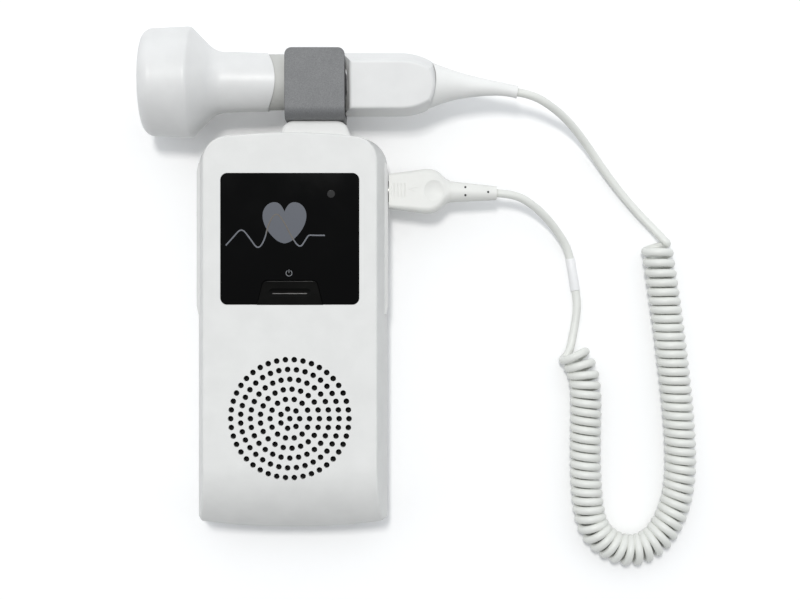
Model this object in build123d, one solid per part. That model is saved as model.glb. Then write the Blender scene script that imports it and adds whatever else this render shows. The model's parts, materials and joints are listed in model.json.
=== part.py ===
from build123d import *
from math import cos, pi, radians, sin, sqrt, tan
import os

# Hand-held fetal doppler: a flat main unit with a speaker, a clip that carries the probe, and a curly cord.
# Frame: the origin is the middle of the main unit's back face. +X is to the unit's right, +Y to its clip end,
# +Z out of its front face. Millimetres.

# ---------------------------------------------------------------- driving dimensions
# casing
UNIT_WIDTH = 75.2
UNIT_LENGTH = 156.0
SEAM_DROP = 18.0           # from the front face down to the seam between the covers
SIDE_LEAN = 3.8            # how far a side leans in between the seam and the face
END_LEAN = 0.8             # the same at the clip end
BACK_LEAN = 0.8            # how far the back cover's walls lean in down to the back
TOP_CORNER = 11.5
BOTTOM_CORNER = 1.6
TOP_BOW = 2.6              # rise of the clip end's arc
BOTTOM_BOW = 3.2           # rise of the other end's arc
WALL = 2.0
FACE_WALL = 2.4
BACK_WALL = 2.4
FACE_EDGE = 0.8            # radius of the soft edge round the face
BACK_EDGE = 4.0            # radius of the edge round the back
BACK_CORNER = 9.0          # radius of the back's corners at the speaker end
ROLL_LENGTH = 26.0         # the face rolls down over this length at the speaker end
ROLL_DROP = 16.0
SEAM_CHAMFER = 0.3
RUNNING_GAP = 0.1          # between a moving piece and what guides it
FIT_GAP = 0.05             # between pieces that are fitted together
CLEAR_GAP = 0.3            # round pieces that stay apart

# display panel, key and indicator
PANEL_WIDTH = 53.9
PANEL_HEIGHT = 51.1
PANEL_IN = 42.1            # from the clip end to the panel's middle
PANEL_CORNER = 2.7
PANEL_THICKNESS = 1.4
PANEL_LEDGE = 1.6
KEY_BASE = 25.6
KEY_TOP = 20.9
KEY_HEIGHT = 9.4
KEY_CORNER = 2.2
KEY_CAP = 3.4
KEY_SINK = 0.1             # the key's top lies this far below the panel
KEY_FLANGE = 0.8
KEY_GROOVE_LENGTH = 16.5
KEY_GROOVE_WIDTH = 3.3
KEY_GROOVE_DEPTH = 0.5
KEY_TRAVEL = 0.8
KEY_STEM = 4.0             # side of the key's square stem
SWITCH_SIDE = 9.0
SWITCH_HEIGHT = 1.2
DOME_R = 3.6
DOME_HEIGHT = 4.4
DOME_WALL = 0.7
DOME_TOP_R = 2.2
PILL_R = 1.2               # the contact pill inside the dome
LAMP_X = 16.0
LAMP_UP = 17.4             # from the panel's middle to the lamp
LAMP_R = 1.6
LED_SIDE = 3.0
LED_HEIGHT = 1.6

# speaker and its grille
SPEAKER_IN = 44.2          # from the speaker end to the speaker's middle
GRILLE_RINGS = 6
GRILLE_PITCH = 3.82
GRILLE_HOLE = 2.25
HOLES_PER_RING = 7         # ring n has n times this many holes
SPEAKER_R = 26.0
SPEAKER_FLANGE = 1.0
SPEAKER_SEAT = 4.0         # depth of the speaker's seat behind the face
BASKET_DEPTH = 5.0
MAGNET_R = 12.0
MAGNET_DEPTH = 4.0
MAGNET_GAP = 1.6           # between the magnet and the battery bay
CONE_WALL = 0.5
CLOTH_THICKNESS = 0.3
RETAINER_THICKNESS = 1.2
RETAINER_LIP = 2.0         # how far the retainer reaches over and past the speaker's rim
RETAINER_SCREW_CIRCLE = 30.2
RETAINER_BOSS_R = 2.2

# board, bosses and screws
BOARD_DROP = 14.0          # from the front face to the board's underside
BOARD_THICKNESS = 1.6
BOARD_SIDE_GAP = 5.8       # between the board and the unit's sides
BOARD_SPEAKER_GAP = 0.8    # between the board and the speaker's flange
BOARD_END_GAP = 8.0        # between the board and the clip end
BOARD_CORNER = 3.0
POST_R = 2.2
POST_IN = 2.5              # of the two posts beside the panel, in from the board's edge
POST_LOW_UP = 15.0         # and up from its lower edge
POST_NEAR_X = 12.0         # of the two posts above the panel
BOSS_IN = 5.8              # in from the board's sides
BOSS_LOW_UP = 4.0          # up from its lower edge
BOSS_HIGH_DOWN = 4.0       # down from its upper edge, for bosses and posts
BOSS_R = 3.4
CASE_SCREW_R = 1.2
CASE_SCREW_HEAD_R = 2.4
CASE_SCREW_HEAD = 1.6
CASE_SCREW_DEPTH = 3.2     # depth of the screw's seat from the back face
CASE_SCREW_GRIP = 7.2      # how far the screw goes into the front cover's boss
SMALL_SCREW_R = 0.8
SMALL_SCREW_HEAD_R = 1.7
SMALL_SCREW_HEAD = 1.2
SMALL_SCREW_LENGTH = 5.5
SCREW_SLOT = 0.6           # width of the slots in the screw heads
CHIP_SIDE = 14.0           # of the largest chip
SMALL_CHIP = 6.0
CHIP_HEIGHT = 1.4
CAN_R = 2.5                # of the capacitors
CAN_HEIGHT = 5.5

# side trims, wheel, jack and probe socket
TRIM_HEIGHT = 12.0
TRIM_LENGTH = 60.0
TRIM_IN = 11.5             # from the clip end to the trims
TRIM_PROUD = 0.4
TRIM_DEPTH = 3.1
TRIM_END = 3.5             # length of the slanted ends
TRIM_TAB = 1.2
TRIM_TAB_THICKNESS = 1.4
CONTROL_DROP = 5.0         # from the board down to the wheel, the jack and the socket
WHEEL_R = 7.0
WHEEL_PROUD = 0.55         # how far the wheel stands out of the trim
WHEEL_DOWN = 19.9          # from the trim's upper end to the wheel
WHEEL_THICKNESS = 3.4
WHEEL_SLOT = 14.6
WHEEL_NOTCHES = 40
WHEEL_NOTCH_R = 0.3
WHEEL_SHAFT_R = 1.5
WHEEL_BODY = 9.0
JACK_DOWN = 30.8           # from the trim's upper end to the jack
JACK_R = 1.8
JACK_DEPTH = 14.0
JACK_BARREL_R = 2.6
JACK_WIDTH = 6.4
JACK_HEIGHT = 7.6
PINHOLE_DOWN = 40.4        # from the trim's upper end to the pinhole
PINHOLE_R = 0.7
SOCKET_DOWN = 10.9         # from the trim's upper end to the socket
SOCKET_R = 4.3
SOCKET_COLLAR = 0.45
SOCKET_DEPTH = 10.5
SOCKET_BACK = 3.5
PIN_COUNT = 4
PIN_R = 0.4
PIN_CIRCLE = 1.8
PIN_LENGTH = 6.5

# battery bay and door
CELL_R = 7.1
CELL_LENGTH = 49.5
CELL_NUB_R = 2.7
CELL_NUB = 1.0
CELL_GAP = 0.4             # between the two cells
BAY_IN = 6.0               # from the speaker end to the battery bay
BAY_WALL = 1.2
SPRING_ROOM = 5.5
CONTACT_THICKNESS = 0.5
CONTACT_SIDE = 10.0
SPRING_R = 3.2
SPRING_WIRE_R = 0.35
SPRING_TURNS = 4
DOOR_WIDTH = 58.0
DOOR_LAP = 0.5             # how far the door reaches past the bay
DOOR_THICKNESS = 1.8
DOOR_RECESS = 0.3          # the door lies this far inside the back face
DOOR_TONGUE = 1.4
DOOR_TONGUE_THICKNESS = 0.8
DOOR_BED = 1.4             # thickness of the wall above the door
GRIP_GROOVES = 6
GRIP_PITCH = 2.2
GRIP_GROOVE_R = 0.5
GRIP_WIDTH = 16.0

# clip and the tab that covers its root
CLIP_X = 9.6
CLIP_WIDTH = 23.3
CLIP_SHEET = 2.0
CLIP_REACH = 11.8          # from the probe's axis to the front plate's tip
CLIP_JAW_REACH = 6.8       # the same to the back jaw's tip
CLIP_CORNER = 2.7
CLIP_BEND = 5.0
CLIP_EDGE = 0.3
CLIP_ROOT_WIDTH = 14.0
CLIP_ROOT_HEIGHT = 6.0
CLIP_FLANGE = 2.0
TAB_BASE = 29.8
TAB_TIP = 23.2
TAB_OUT = 4.1
TAB_DROP = 2.5             # from the front face to the pad's top
TAB_BOTTOM = 3.0
TAB_CORNER = 5.0
TAB_EDGE = 1.8

# probe; its axis runs along X
PROBE_OUT = 20.2           # from the clip end to the probe's axis
PROBE_DROP = 12.0          # from the front face down to it
HEAD_FACE_X = -58.9
HEAD_R = 21.9
HEAD_TAPER = 0.7           # the head is this much slimmer at the cap than at its ridge
HEAD_WALL = 1.8
CAP_LENGTH = 6.0           # of the face cap
CAP_DOME = 0.5             # how far the cap's face bulges
CAP_CORNER = 4.5           # radius round the cap's face
HEAD_LENGTH = 19.4         # from the face to the ridge
RIDGE_EDGE = 2.4           # radius of the ridge
FLARE_LENGTH = 9.6         # from the ridge to the neck
FLARE_CURVE = 8.5          # radius where the flare runs into the neck
NECK_START_R = 12.1
NECK_END_X = -5.9
NECK_END_R = 11.4
END_CURVE = 20.0           # radius of the curved ends of neck and handle, seen from the front
BAND_STEP = 0.4            # the band lies this far below the neck's end
BAND_WALL = 1.8
HANDLE_START_X = 20.0
HANDLE_RAMP = 3.8          # the flats slope down to the start over this length
HANDLE_RAMP_DROP = 1.5
HANDLE_HALF_WIDTH = 12.45
HANDLE_ASIDE = 1.0         # the handle's middle lies this far towards the unit
HANDLE_ROLL = 6.5          # the handle is turned this far about its length, degrees
HANDLE_RISE = 11.0         # height of the handle's flats above and below the axis
HANDLE_DRAFT = 16.0
HANDLE_TURN_X = 43.0
HANDLE_TURN_R = 24.3
HANDLE_TIP_X = 59.0
HANDLE_END_X = 56.8
HANDLE_EDGE = 1.2
HANDLE_WALL = 1.8
CLIP_GAP = 0.3             # between the probe's band and the clip
CRYSTAL_R = 3.2
CRYSTAL_THICKNESS = 0.8
CRYSTAL_CIRCLE = 9.5
CRYSTAL_COUNT = 6
SPIGOT_WALL = 2.2          # of the face cap's spigot
BACKING_THICKNESS = 4.0
SEAL_THICKNESS = 1.0
FACE_CAP = 2.4             # thickness of the face cap
FACE_SPIGOT = 3.0          # how far the cap's spigot goes into the head
BOOT_LENGTH = 32.3
BOOT_DROOP = 2.9           # the tail's end lies this far off the handle's middle
BOOT_TIP_R = 2.55
# the tail's rings: how far behind the handle's end, how far off its middle, and the radius
BOOT_RINGS = ((-5.0, 0.0, 10.2), (0.0, 0.1, 8.3), (5.7, 0.2, 6.3), (13.6, 0.6, 4.35), (21.5, 1.2, 3.1))
PROBE_BOARD_THICKNESS = 1.2
PROBE_CHIPS = 4
CLAMP_LENGTH = 5.0

# plug
PLUG_GAP = 0.3             # between the plug and the trim
PLUG_WIDTH = 13.6          # at the front
PLUG_THICKNESS = 10.4
PLUG_EDGE = 1.8            # radius of the body's long edges
PLUG_LENGTH = 43.0
PLUG_SHOULDER = 24.2       # from the plug's front to the start of its neck
# the moulded body's sections: how far behind the front, added width, and added thickness
PLUG_SECTIONS = ((0.0, 0.0, 0.0), (7.5, 1.9, 0.1), (13.0, 3.5, 0.2), (16.3, 3.8, 0.2), (19.4, 2.0, 0.0),
                 (21.8, -2.0, -0.5), (24.2, -4.2, -1.0))
PLUG_NECK_R = 4.6
PLUG_TAIL_ASIDE = 0.7      # the tail's end lies this far towards the speaker end
PLUG_TAIL_R = 2.8
PLUG_GRIP_LINES = 4
PLUG_GRIP_PITCH = 1.4
PLUG_GRIP_START = 2.1      # from the plug's front to the first grip line
PLUG_GRIP_LENGTH = 5.5
PLUG_GRIP_R = 0.3
PLUG_SHELL_R = 4.2
PLUG_SHELL_WALL = 0.5
PLUG_SHELL_SEAT = 7.0      # how far the shell goes into the plug's body
RELIEF_HOLE_R = 0.45
RELIEF_HOLES = ((12.6, 2.2), (12.6, -1.0), (3.5, 0.3))   # back from the tail's end, and aside
DIMPLE_BALL_R = 14.0       # the thumb dimple is part of a ball
DIMPLE_DEPTH = 0.6
DIMPLE_BACK = 18.3         # from the plug's front to the dimple's middle

# cord
CORD_R = 1.65
CURL_R = 6.5               # outer radius of the curl
CURL_Z = 6.55
SLEEVE_R = 1.9
SLEEVE_END_Y = 29.0        # the sleeve and the plug's lead meet in this plane

# ---------------------------------------------------------------- derived places
HALF_WIDTH = UNIT_WIDTH / 2
HALF_LENGTH = UNIT_LENGTH / 2
# up through the speaker end: door, cells, bay, magnet, basket, flange, cloth, seat
DOOR_INNER_Z = DOOR_RECESS + DOOR_THICKNESS
CELL_Z = DOOR_INNER_Z + CLEAR_GAP + CELL_R
BAY_TOP_Z = CELL_Z + CELL_R + CLEAR_GAP
MAGNET_Z = BAY_TOP_Z + BAY_WALL + MAGNET_GAP
BASKET_Z = MAGNET_Z + MAGNET_DEPTH
FLANGE_UNDER_Z = BASKET_Z + BASKET_DEPTH
FLANGE_TOP_Z = FLANGE_UNDER_Z + SPEAKER_FLANGE
SEAT_Z = FLANGE_TOP_Z + CLOTH_THICKNESS
UNIT_DEPTH = SEAT_Z + SPEAKER_SEAT
# down from the front face
SEAM_Z = UNIT_DEPTH - SEAM_DROP
FACE_INNER_Z = UNIT_DEPTH - FACE_WALL
PANEL_UNDER_Z = UNIT_DEPTH - PANEL_THICKNESS
BOARD_Z = UNIT_DEPTH - BOARD_DROP
BOARD_TOP_Z = BOARD_Z + BOARD_THICKNESS
SWITCH_TOP_Z = BOARD_TOP_Z + SWITCH_HEIGHT
KEY_STEM_Z = SWITCH_TOP_Z + DOME_HEIGHT
CONTROL_Z = BOARD_Z - CONTROL_DROP
TRIM_BOTTOM = CONTROL_Z - TRIM_HEIGHT / 2
TRIM_TOP = TRIM_BOTTOM + TRIM_HEIGHT
TAB_TOP = UNIT_DEPTH - TAB_DROP
PROBE_Z = UNIT_DEPTH - PROBE_DROP
# along the unit
SPEAKER_Y = -HALF_LENGTH + SPEAKER_IN
PANEL_Y = HALF_LENGTH - PANEL_IN
PANEL_BOTTOM = PANEL_Y - PANEL_HEIGHT / 2
LAMP_Y = PANEL_Y + LAMP_UP
BOARD_BOTTOM = SPEAKER_Y + SPEAKER_R + BOARD_SPEAKER_GAP
BOARD_TOP = HALF_LENGTH - BOARD_END_GAP
BOARD_WIDTH = UNIT_WIDTH - 2 * BOARD_SIDE_GAP
POST_X = BOARD_WIDTH / 2 - POST_IN
POST_LOW = BOARD_BOTTOM + POST_LOW_UP
BOSS_X = BOARD_WIDTH / 2 - BOSS_IN
BOSS_LOW = BOARD_BOTTOM + BOSS_LOW_UP
BOSS_HIGH = BOARD_TOP - BOSS_HIGH_DOWN
CASE_SCREW_LENGTH = SEAM_Z - CASE_SCREW_DEPTH + CASE_SCREW_GRIP
BAY_END = -HALF_LENGTH + BAY_IN
BAY_START = BAY_END + 2 * CONTACT_THICKNESS + SPRING_ROOM + CELL_LENGTH + CELL_NUB
DOOR_TOP = BAY_START + DOOR_LAP
CELL_X = CELL_R + CELL_GAP / 2
BAY_HALF = CELL_X + CELL_R + CLEAR_GAP
# the sides
TRIM_HIGH = HALF_LENGTH - TRIM_IN
TRIM_LOW = TRIM_HIGH - TRIM_LENGTH
TRIM_FACE_X = HALF_WIDTH + TRIM_PROUD
TRIM_INNER_X = TRIM_FACE_X - TRIM_DEPTH
WHEEL_X = -(TRIM_FACE_X + WHEEL_PROUD) + WHEEL_R
WHEEL_Y = TRIM_HIGH - WHEEL_DOWN
JACK_Y = TRIM_HIGH - JACK_DOWN
PINHOLE_Y = TRIM_HIGH - PINHOLE_DOWN
SOCKET_Y = TRIM_HIGH - SOCKET_DOWN
SOCKET_MOUTH_X = TRIM_FACE_X - FIT_GAP
SOCKET_END_X = SOCKET_MOUTH_X - SOCKET_DEPTH
# the probe
PROBE_Y = HALF_LENGTH + PROBE_OUT
HEAD_SEAM_X = HEAD_FACE_X + CAP_LENGTH
HEAD_SEAM_R = HEAD_R - HEAD_TAPER
HEAD_RIDGE_X = HEAD_FACE_X + HEAD_LENGTH
NECK_START_X = HEAD_RIDGE_X + FLARE_LENGTH
SPIGOT_R = HEAD_SEAM_R - HEAD_WALL - FIT_GAP
BACKING_R = SPIGOT_R - SPIGOT_WALL - FIT_GAP
BAND_R = NECK_END_R - BAND_STEP
BAND_INNER_R = BAND_R - BAND_WALL
BORE_R = BAND_INNER_R - HANDLE_WALL
HANDLE_Y = PROBE_Y - HANDLE_ASIDE
BOOT_TIP_X = HANDLE_END_X + BOOT_LENGTH
BOOT_TIP_Y = HANDLE_Y - BOOT_DROOP
# the clip
CLIP_UNDER_Z = PROBE_Z + BAND_R + CLIP_GAP
CLIP_JAW_Z = PROBE_Z - BAND_R - CLIP_GAP
CLIP_TIP = PROBE_Y + CLIP_REACH
CLIP_JAW_TIP = PROBE_Y + CLIP_JAW_REACH
TAB_FACE_Y = HALF_LENGTH + TAB_OUT
CLIP_WEB_Y = TAB_FACE_Y + FIT_GAP
# the plug
PLUG_FRONT_X = TRIM_FACE_X + PLUG_GAP
PLUG_SHOULDER_X = PLUG_FRONT_X + PLUG_SHOULDER
PLUG_TAIL_X = PLUG_FRONT_X + PLUG_LENGTH
PLUG_TAIL_Y = SOCKET_Y - PLUG_TAIL_ASIDE


# ---------------------------------------------------------------- helpers
def block(x0, x1, y0, y1, z0, z1):
    """A box between two corners."""
    return Pos((x0 + x1) / 2, (y0 + y1) / 2, (z0 + z1) / 2) * Box(x1 - x0, y1 - y0, z1 - z0)


def post(x, y, z0, z1, r):
    """An upright cylinder."""
    return Pos(x, y, (z0 + z1) / 2) * Cylinder(r, z1 - z0)


def bar(x0, x1, y, z, r):
    """A cylinder along X."""
    return Pos((x0 + x1) / 2, y, z) * Rot(0, 90, 0) * Cylinder(r, x1 - x0)


def group(solids):
    """Several separate solids as one sub-part."""
    return Compound(children=[solid for shape in solids for solid in shape.solids()])


def corners(face, highest):
    """The two corner points of a face at its clip end, or at its other end."""
    found = face.vertices().sort_by(Axis.Y)
    return found[-2:] if highest else found[:2]


def rounded(face, x, y, r):
    """The face with its corner nearest to (x, y) rounded."""
    return fillet(min(face.vertices(), key=lambda v: abs(v.X - x) + abs(v.Y - y)), r)


def upright_cylinder(x, y, r):
    """An upright cylinder that is taller than the whole object."""
    return post(x, y, -UNIT_DEPTH, 2 * UNIT_DEPTH, r)


# ---------------------------------------------------------------- casing forms
def outline(side_lean, end_lean, inset, corner, low_corner):
    """The unit seen from the front, as a face in the XY plane."""
    half = HALF_WIDTH - side_lean - inset
    high = HALF_LENGTH - end_lean - inset
    low = -HALF_LENGTH + inset
    a, b = (-half, low + BOTTOM_BOW), (half, low + BOTTOM_BOW)
    c, d = (half, high - TOP_BOW), (-half, high - TOP_BOW)
    edges = ThreePointArc(a, (0, low), b) + Line(b, c) + ThreePointArc(c, (0, high), d) + Line(d, a)
    face = make_face(edges)
    face = fillet(corners(face, True), corner)
    return fillet(corners(face, False), max(low_corner - inset, 0.5))


def face_profile(inset, wall):
    """Side view of the front: flat, then rolling down at the speaker end; swept across the unit."""
    radius = (ROLL_LENGTH ** 2 + ROLL_DROP ** 2) / (2 * ROLL_DROP)
    start_y = -HALF_LENGTH + ROLL_LENGTH
    centre_z = UNIT_DEPTH - radius
    r = radius - wall
    top = UNIT_DEPTH - wall
    far, low = HALF_LENGTH + UNIT_DEPTH, -UNIT_DEPTH
    bend = ThreePointArc((start_y, top), (start_y - r * sin(pi / 4), centre_z + r * cos(pi / 4)),
                         (start_y - r, centre_z))
    edges = (Line((far, low), (far, top)) + Line((far, top), (start_y, top)) + bend
             + Line((start_y - r, centre_z), (start_y - r, low)) + Line((start_y - r, low), (far, low)))
    reach = UNIT_WIDTH
    return Pos(reach, 0, 0) * extrude(Plane.YZ * make_face(edges), -2 * reach)


def front_form(inset, wall):
    """The front cover's outer form, or its hollow when inset by the walls."""
    low = Pos(0, 0, SEAM_Z) * outline(0, 0, inset, TOP_CORNER - inset, BOTTOM_CORNER)
    high = Pos(0, 0, UNIT_DEPTH) * outline(SIDE_LEAN, END_LEAN, inset, TOP_CORNER - 2 - inset, BOTTOM_CORNER)
    return loft([low, high], ruled=True) & face_profile(inset, wall)


def back_form(inset, wall, chamfered=0.0):
    """The back cover's outer form, or its hollow when inset by the walls."""
    high = Pos(0, 0, SEAM_Z - chamfered) * outline(0, 0, inset, TOP_CORNER - inset, BOTTOM_CORNER)
    low = Pos(0, 0, wall) * outline(BACK_LEAN, BACK_LEAN, inset, TOP_CORNER - inset, BACK_CORNER)
    form = loft([low, high], ruled=True)
    form = fillet(form.edges().group_by(Axis.Z)[0], BACK_EDGE - inset)
    if chamfered > 0:
        rim = Pos(0, 0, SEAM_Z) * outline(chamfered, chamfered, 0, TOP_CORNER, BOTTOM_CORNER)
        form = form + loft([high, rim], ruled=True)
    return form


def screw_places():
    return [(sx * BOSS_X, y) for sx in (-1, 1) for y in (BOSS_LOW, BOSS_HIGH)]


def post_places():
    return [(sx * x, y) for sx in (-1, 1) for x, y in ((POST_X, POST_LOW), (POST_NEAR_X, BOSS_HIGH))]


def retainer_places():
    reach = RETAINER_SCREW_CIRCLE / sqrt(2)
    return [(sx * reach, SPEAKER_Y + sy * reach) for sx in (-1, 1) for sy in (-1, 1)]


def grille_places():
    """The grille's holes: one in the middle, then rings of 7, 14, 21 ... holes."""
    places = [(0, SPEAKER_Y)]
    for ring in range(1, GRILLE_RINGS + 1):
        count = HOLES_PER_RING * ring
        for k in range(count):
            angle = 2 * pi * k / count
            places.append((ring * GRILLE_PITCH * cos(angle), SPEAKER_Y + ring * GRILLE_PITCH * sin(angle)))
    return places


def tab_form(grow):
    """The pad on the clip end that covers the clip's root."""
    base, tip = TAB_BASE / 2 + grow, TAB_TIP / 2 + grow
    low, high = HALF_LENGTH - 2 * WALL, TAB_FACE_Y + grow
    face = make_face(Polyline((CLIP_X - base, low), (CLIP_X + base, low), (CLIP_X + tip, high),
                              (CLIP_X - tip, high), close=True))
    face = fillet(corners(face, True), TAB_CORNER)
    pad = Pos(0, 0, TAB_BOTTOM) * extrude(face, TAB_TOP - TAB_BOTTOM)
    rims = pad.edges().group_by(Axis.Z)
    return fillet(rims[-1] + rims[0], TAB_EDGE)


def trim_cutouts():
    """The openings in both covers that the side trims fill."""
    cut = [block(sx * HALF_WIDTH - 2 * WALL, sx * HALF_WIDTH + 2 * WALL, TRIM_LOW - FIT_GAP,
                 TRIM_HIGH + FIT_GAP, TRIM_BOTTOM - FIT_GAP, TRIM_TOP + FIT_GAP) for sx in (-1, 1)]
    return cut[0] + cut[1]


def clip_passage(grow):
    """The clip's root where it goes through the casing's end wall."""
    half = CLIP_ROOT_WIDTH / 2 + grow
    rise = CLIP_ROOT_HEIGHT / 2 + grow
    return block(CLIP_X - half, CLIP_X + half, HALF_LENGTH - 2 * WALL - TOP_BOW, CLIP_WEB_Y + grow,
                 SEAM_Z - rise, SEAM_Z + rise)


def key_outline(grow):
    """The power key seen from the front; its lower edge is the panel's."""
    low, high = PANEL_BOTTOM - grow, PANEL_BOTTOM + KEY_HEIGHT + grow
    base, top = KEY_BASE / 2 + grow, KEY_TOP / 2 + grow
    face = make_face(Polyline((-base, low), (base, low), (top, high), (-top, high), close=True))
    return fillet(corners(face, True), KEY_CORNER + grow)


# ---------------------------------------------------------------- main unit: casing
def make_front_cover():
    shell = front_form(0, 0)
    rims = shell.edges().filter_by(lambda e: e.center().Z > SEAM_Z + 3 and e.length > 5)
    shell = fillet(rims, FACE_EDGE)
    shell = shell - front_form(WALL, FACE_WALL)
    tab = tab_form(0) & block(-UNIT_WIDTH, UNIT_WIDTH, 0, UNIT_LENGTH, SEAM_Z, UNIT_DEPTH)
    shell = shell + (tab - front_form(WALL, FACE_WALL))
    ring = (post(0, SPEAKER_Y, SEAT_Z, FACE_INNER_Z + WALL / 2, SPEAKER_R + 1)
            - post(0, SPEAKER_Y, SEAT_Z, FACE_INNER_Z + WALL, SPEAKER_R - 1.4))
    stems = [post(x, y, SEAM_Z, FACE_INNER_Z + WALL / 2, BOSS_R) for x, y in screw_places()]
    stems += [post(x, y, BOARD_TOP_Z, FACE_INNER_Z + WALL / 2, POST_R) for x, y in post_places()]
    stems += [post(x, y, FLANGE_UNDER_Z, FACE_INNER_Z + WALL / 2, RETAINER_BOSS_R) for x, y in retainer_places()]
    inside = ring & front_form(WALL / 2, FACE_WALL / 2)
    for stem in stems:
        inside = inside + (stem & front_form(WALL / 2, FACE_WALL / 2))
    shell = shell + inside
    for x, y in screw_places():
        shell = shell - post(x, y, SEAM_Z, CASE_SCREW_DEPTH + CASE_SCREW_LENGTH + 1, CASE_SCREW_R + FIT_GAP)
    for x, y in post_places():
        shell = shell - post(x, y, BOARD_TOP_Z, BOARD_Z + SMALL_SCREW_LENGTH + 1, SMALL_SCREW_R + FIT_GAP)
    for x, y in retainer_places():
        top = FLANGE_UNDER_Z - RETAINER_THICKNESS + SMALL_SCREW_LENGTH - 1.5
        shell = shell - post(x, y, FLANGE_UNDER_Z, top, SMALL_SCREW_R + FIT_GAP)
    seat = Pos(0, PANEL_Y, PANEL_UNDER_Z) * RectangleRounded(PANEL_WIDTH, PANEL_HEIGHT, PANEL_CORNER)
    shell = shell - extrude(seat, FACE_WALL)
    window = Pos(0, PANEL_Y, 0) * RectangleRounded(PANEL_WIDTH - 2 * PANEL_LEDGE, PANEL_HEIGHT - 2 * PANEL_LEDGE,
                                                    PANEL_CORNER)
    shell = shell - Pos(0, 0, SEAT_Z) * extrude(window, FACE_WALL + WALL)
    shell = shell - Pos(0, 0, SEAT_Z) * extrude(key_outline(RUNNING_GAP), FACE_WALL + WALL)
    shell = shell - trim_cutouts() - clip_passage(FIT_GAP)
    holes = [post(x, y, SEAT_Z, UNIT_DEPTH + 1, GRILLE_HOLE / 2) for x, y in grille_places()]
    return shell - holes


def door_slot(grow):
    """The room of the battery door in the back cover, open at the speaker end."""
    half = DOOR_WIDTH / 2 + grow
    plate = block(-half, half, -UNIT_LENGTH, DOOR_TOP + grow, -1, DOOR_INNER_Z + grow)
    tongue_z = DOOR_INNER_Z - DOOR_TONGUE_THICKNESS - grow
    tongues = block(-half - DOOR_TONGUE, half + DOOR_TONGUE, -UNIT_LENGTH, DOOR_TOP + grow, tongue_z,
                    DOOR_INNER_Z + grow)
    return plate + tongues


def make_rear_cover():
    shell = back_form(0, 0, SEAM_CHAMFER) - back_form(WALL, BACK_WALL)
    tab = tab_form(0) & block(-UNIT_WIDTH, UNIT_WIDTH, 0, UNIT_LENGTH, 0, SEAM_Z)
    shell = shell + (tab - back_form(WALL, BACK_WALL))
    bed_z = DOOR_INNER_Z + RUNNING_GAP + DOOR_BED
    half = DOOR_WIDTH / 2 + DOOR_TONGUE + WALL
    bed = block(-half, half, -UNIT_LENGTH, DOOR_TOP + WALL, BACK_WALL / 2, bed_z)
    outer = BAY_HALF + BAY_WALL
    bay = block(-outer, outer, BAY_END - BAY_WALL, BAY_START + BAY_WALL, BACK_WALL / 2, BAY_TOP_Z + BAY_WALL)
    shell = shell + (bed & back_form(WALL / 2, 0))
    shell = shell + bay
    shell = shell - block(-BAY_HALF, BAY_HALF, BAY_END, BAY_START, -1, BAY_TOP_Z)
    shell = shell - door_slot(RUNNING_GAP)
    for x, y in screw_places():
        shell = shell + post(x, y, BACK_WALL / 2, SEAM_Z, BOSS_R + 0.2)
        shell = shell - post(x, y, -1, CASE_SCREW_DEPTH, CASE_SCREW_HEAD_R + CLEAR_GAP)
        shell = shell - post(x, y, 0, SEAM_Z + 1, CASE_SCREW_R + FIT_GAP)
    return shell - trim_cutouts() - clip_passage(FIT_GAP)


def make_case_screws():
    screws = []
    for x, y in screw_places():
        head = post(x, y, CASE_SCREW_DEPTH - CASE_SCREW_HEAD, CASE_SCREW_DEPTH, CASE_SCREW_HEAD_R)
        shank = post(x, y, CASE_SCREW_DEPTH, CASE_SCREW_DEPTH + CASE_SCREW_LENGTH, CASE_SCREW_R)
        low = CASE_SCREW_DEPTH - CASE_SCREW_HEAD
        reach = 0.65 * CASE_SCREW_HEAD_R
        slot = block(x - reach, x + reach, y - SCREW_SLOT / 2, y + SCREW_SLOT / 2, low, low + CASE_SCREW_HEAD / 2)
        screws.append(head + shank - slot - Pos(x, y, 0) * Rot(0, 0, 90) * Pos(-x, -y, 0) * slot)
    return group(screws)


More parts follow.
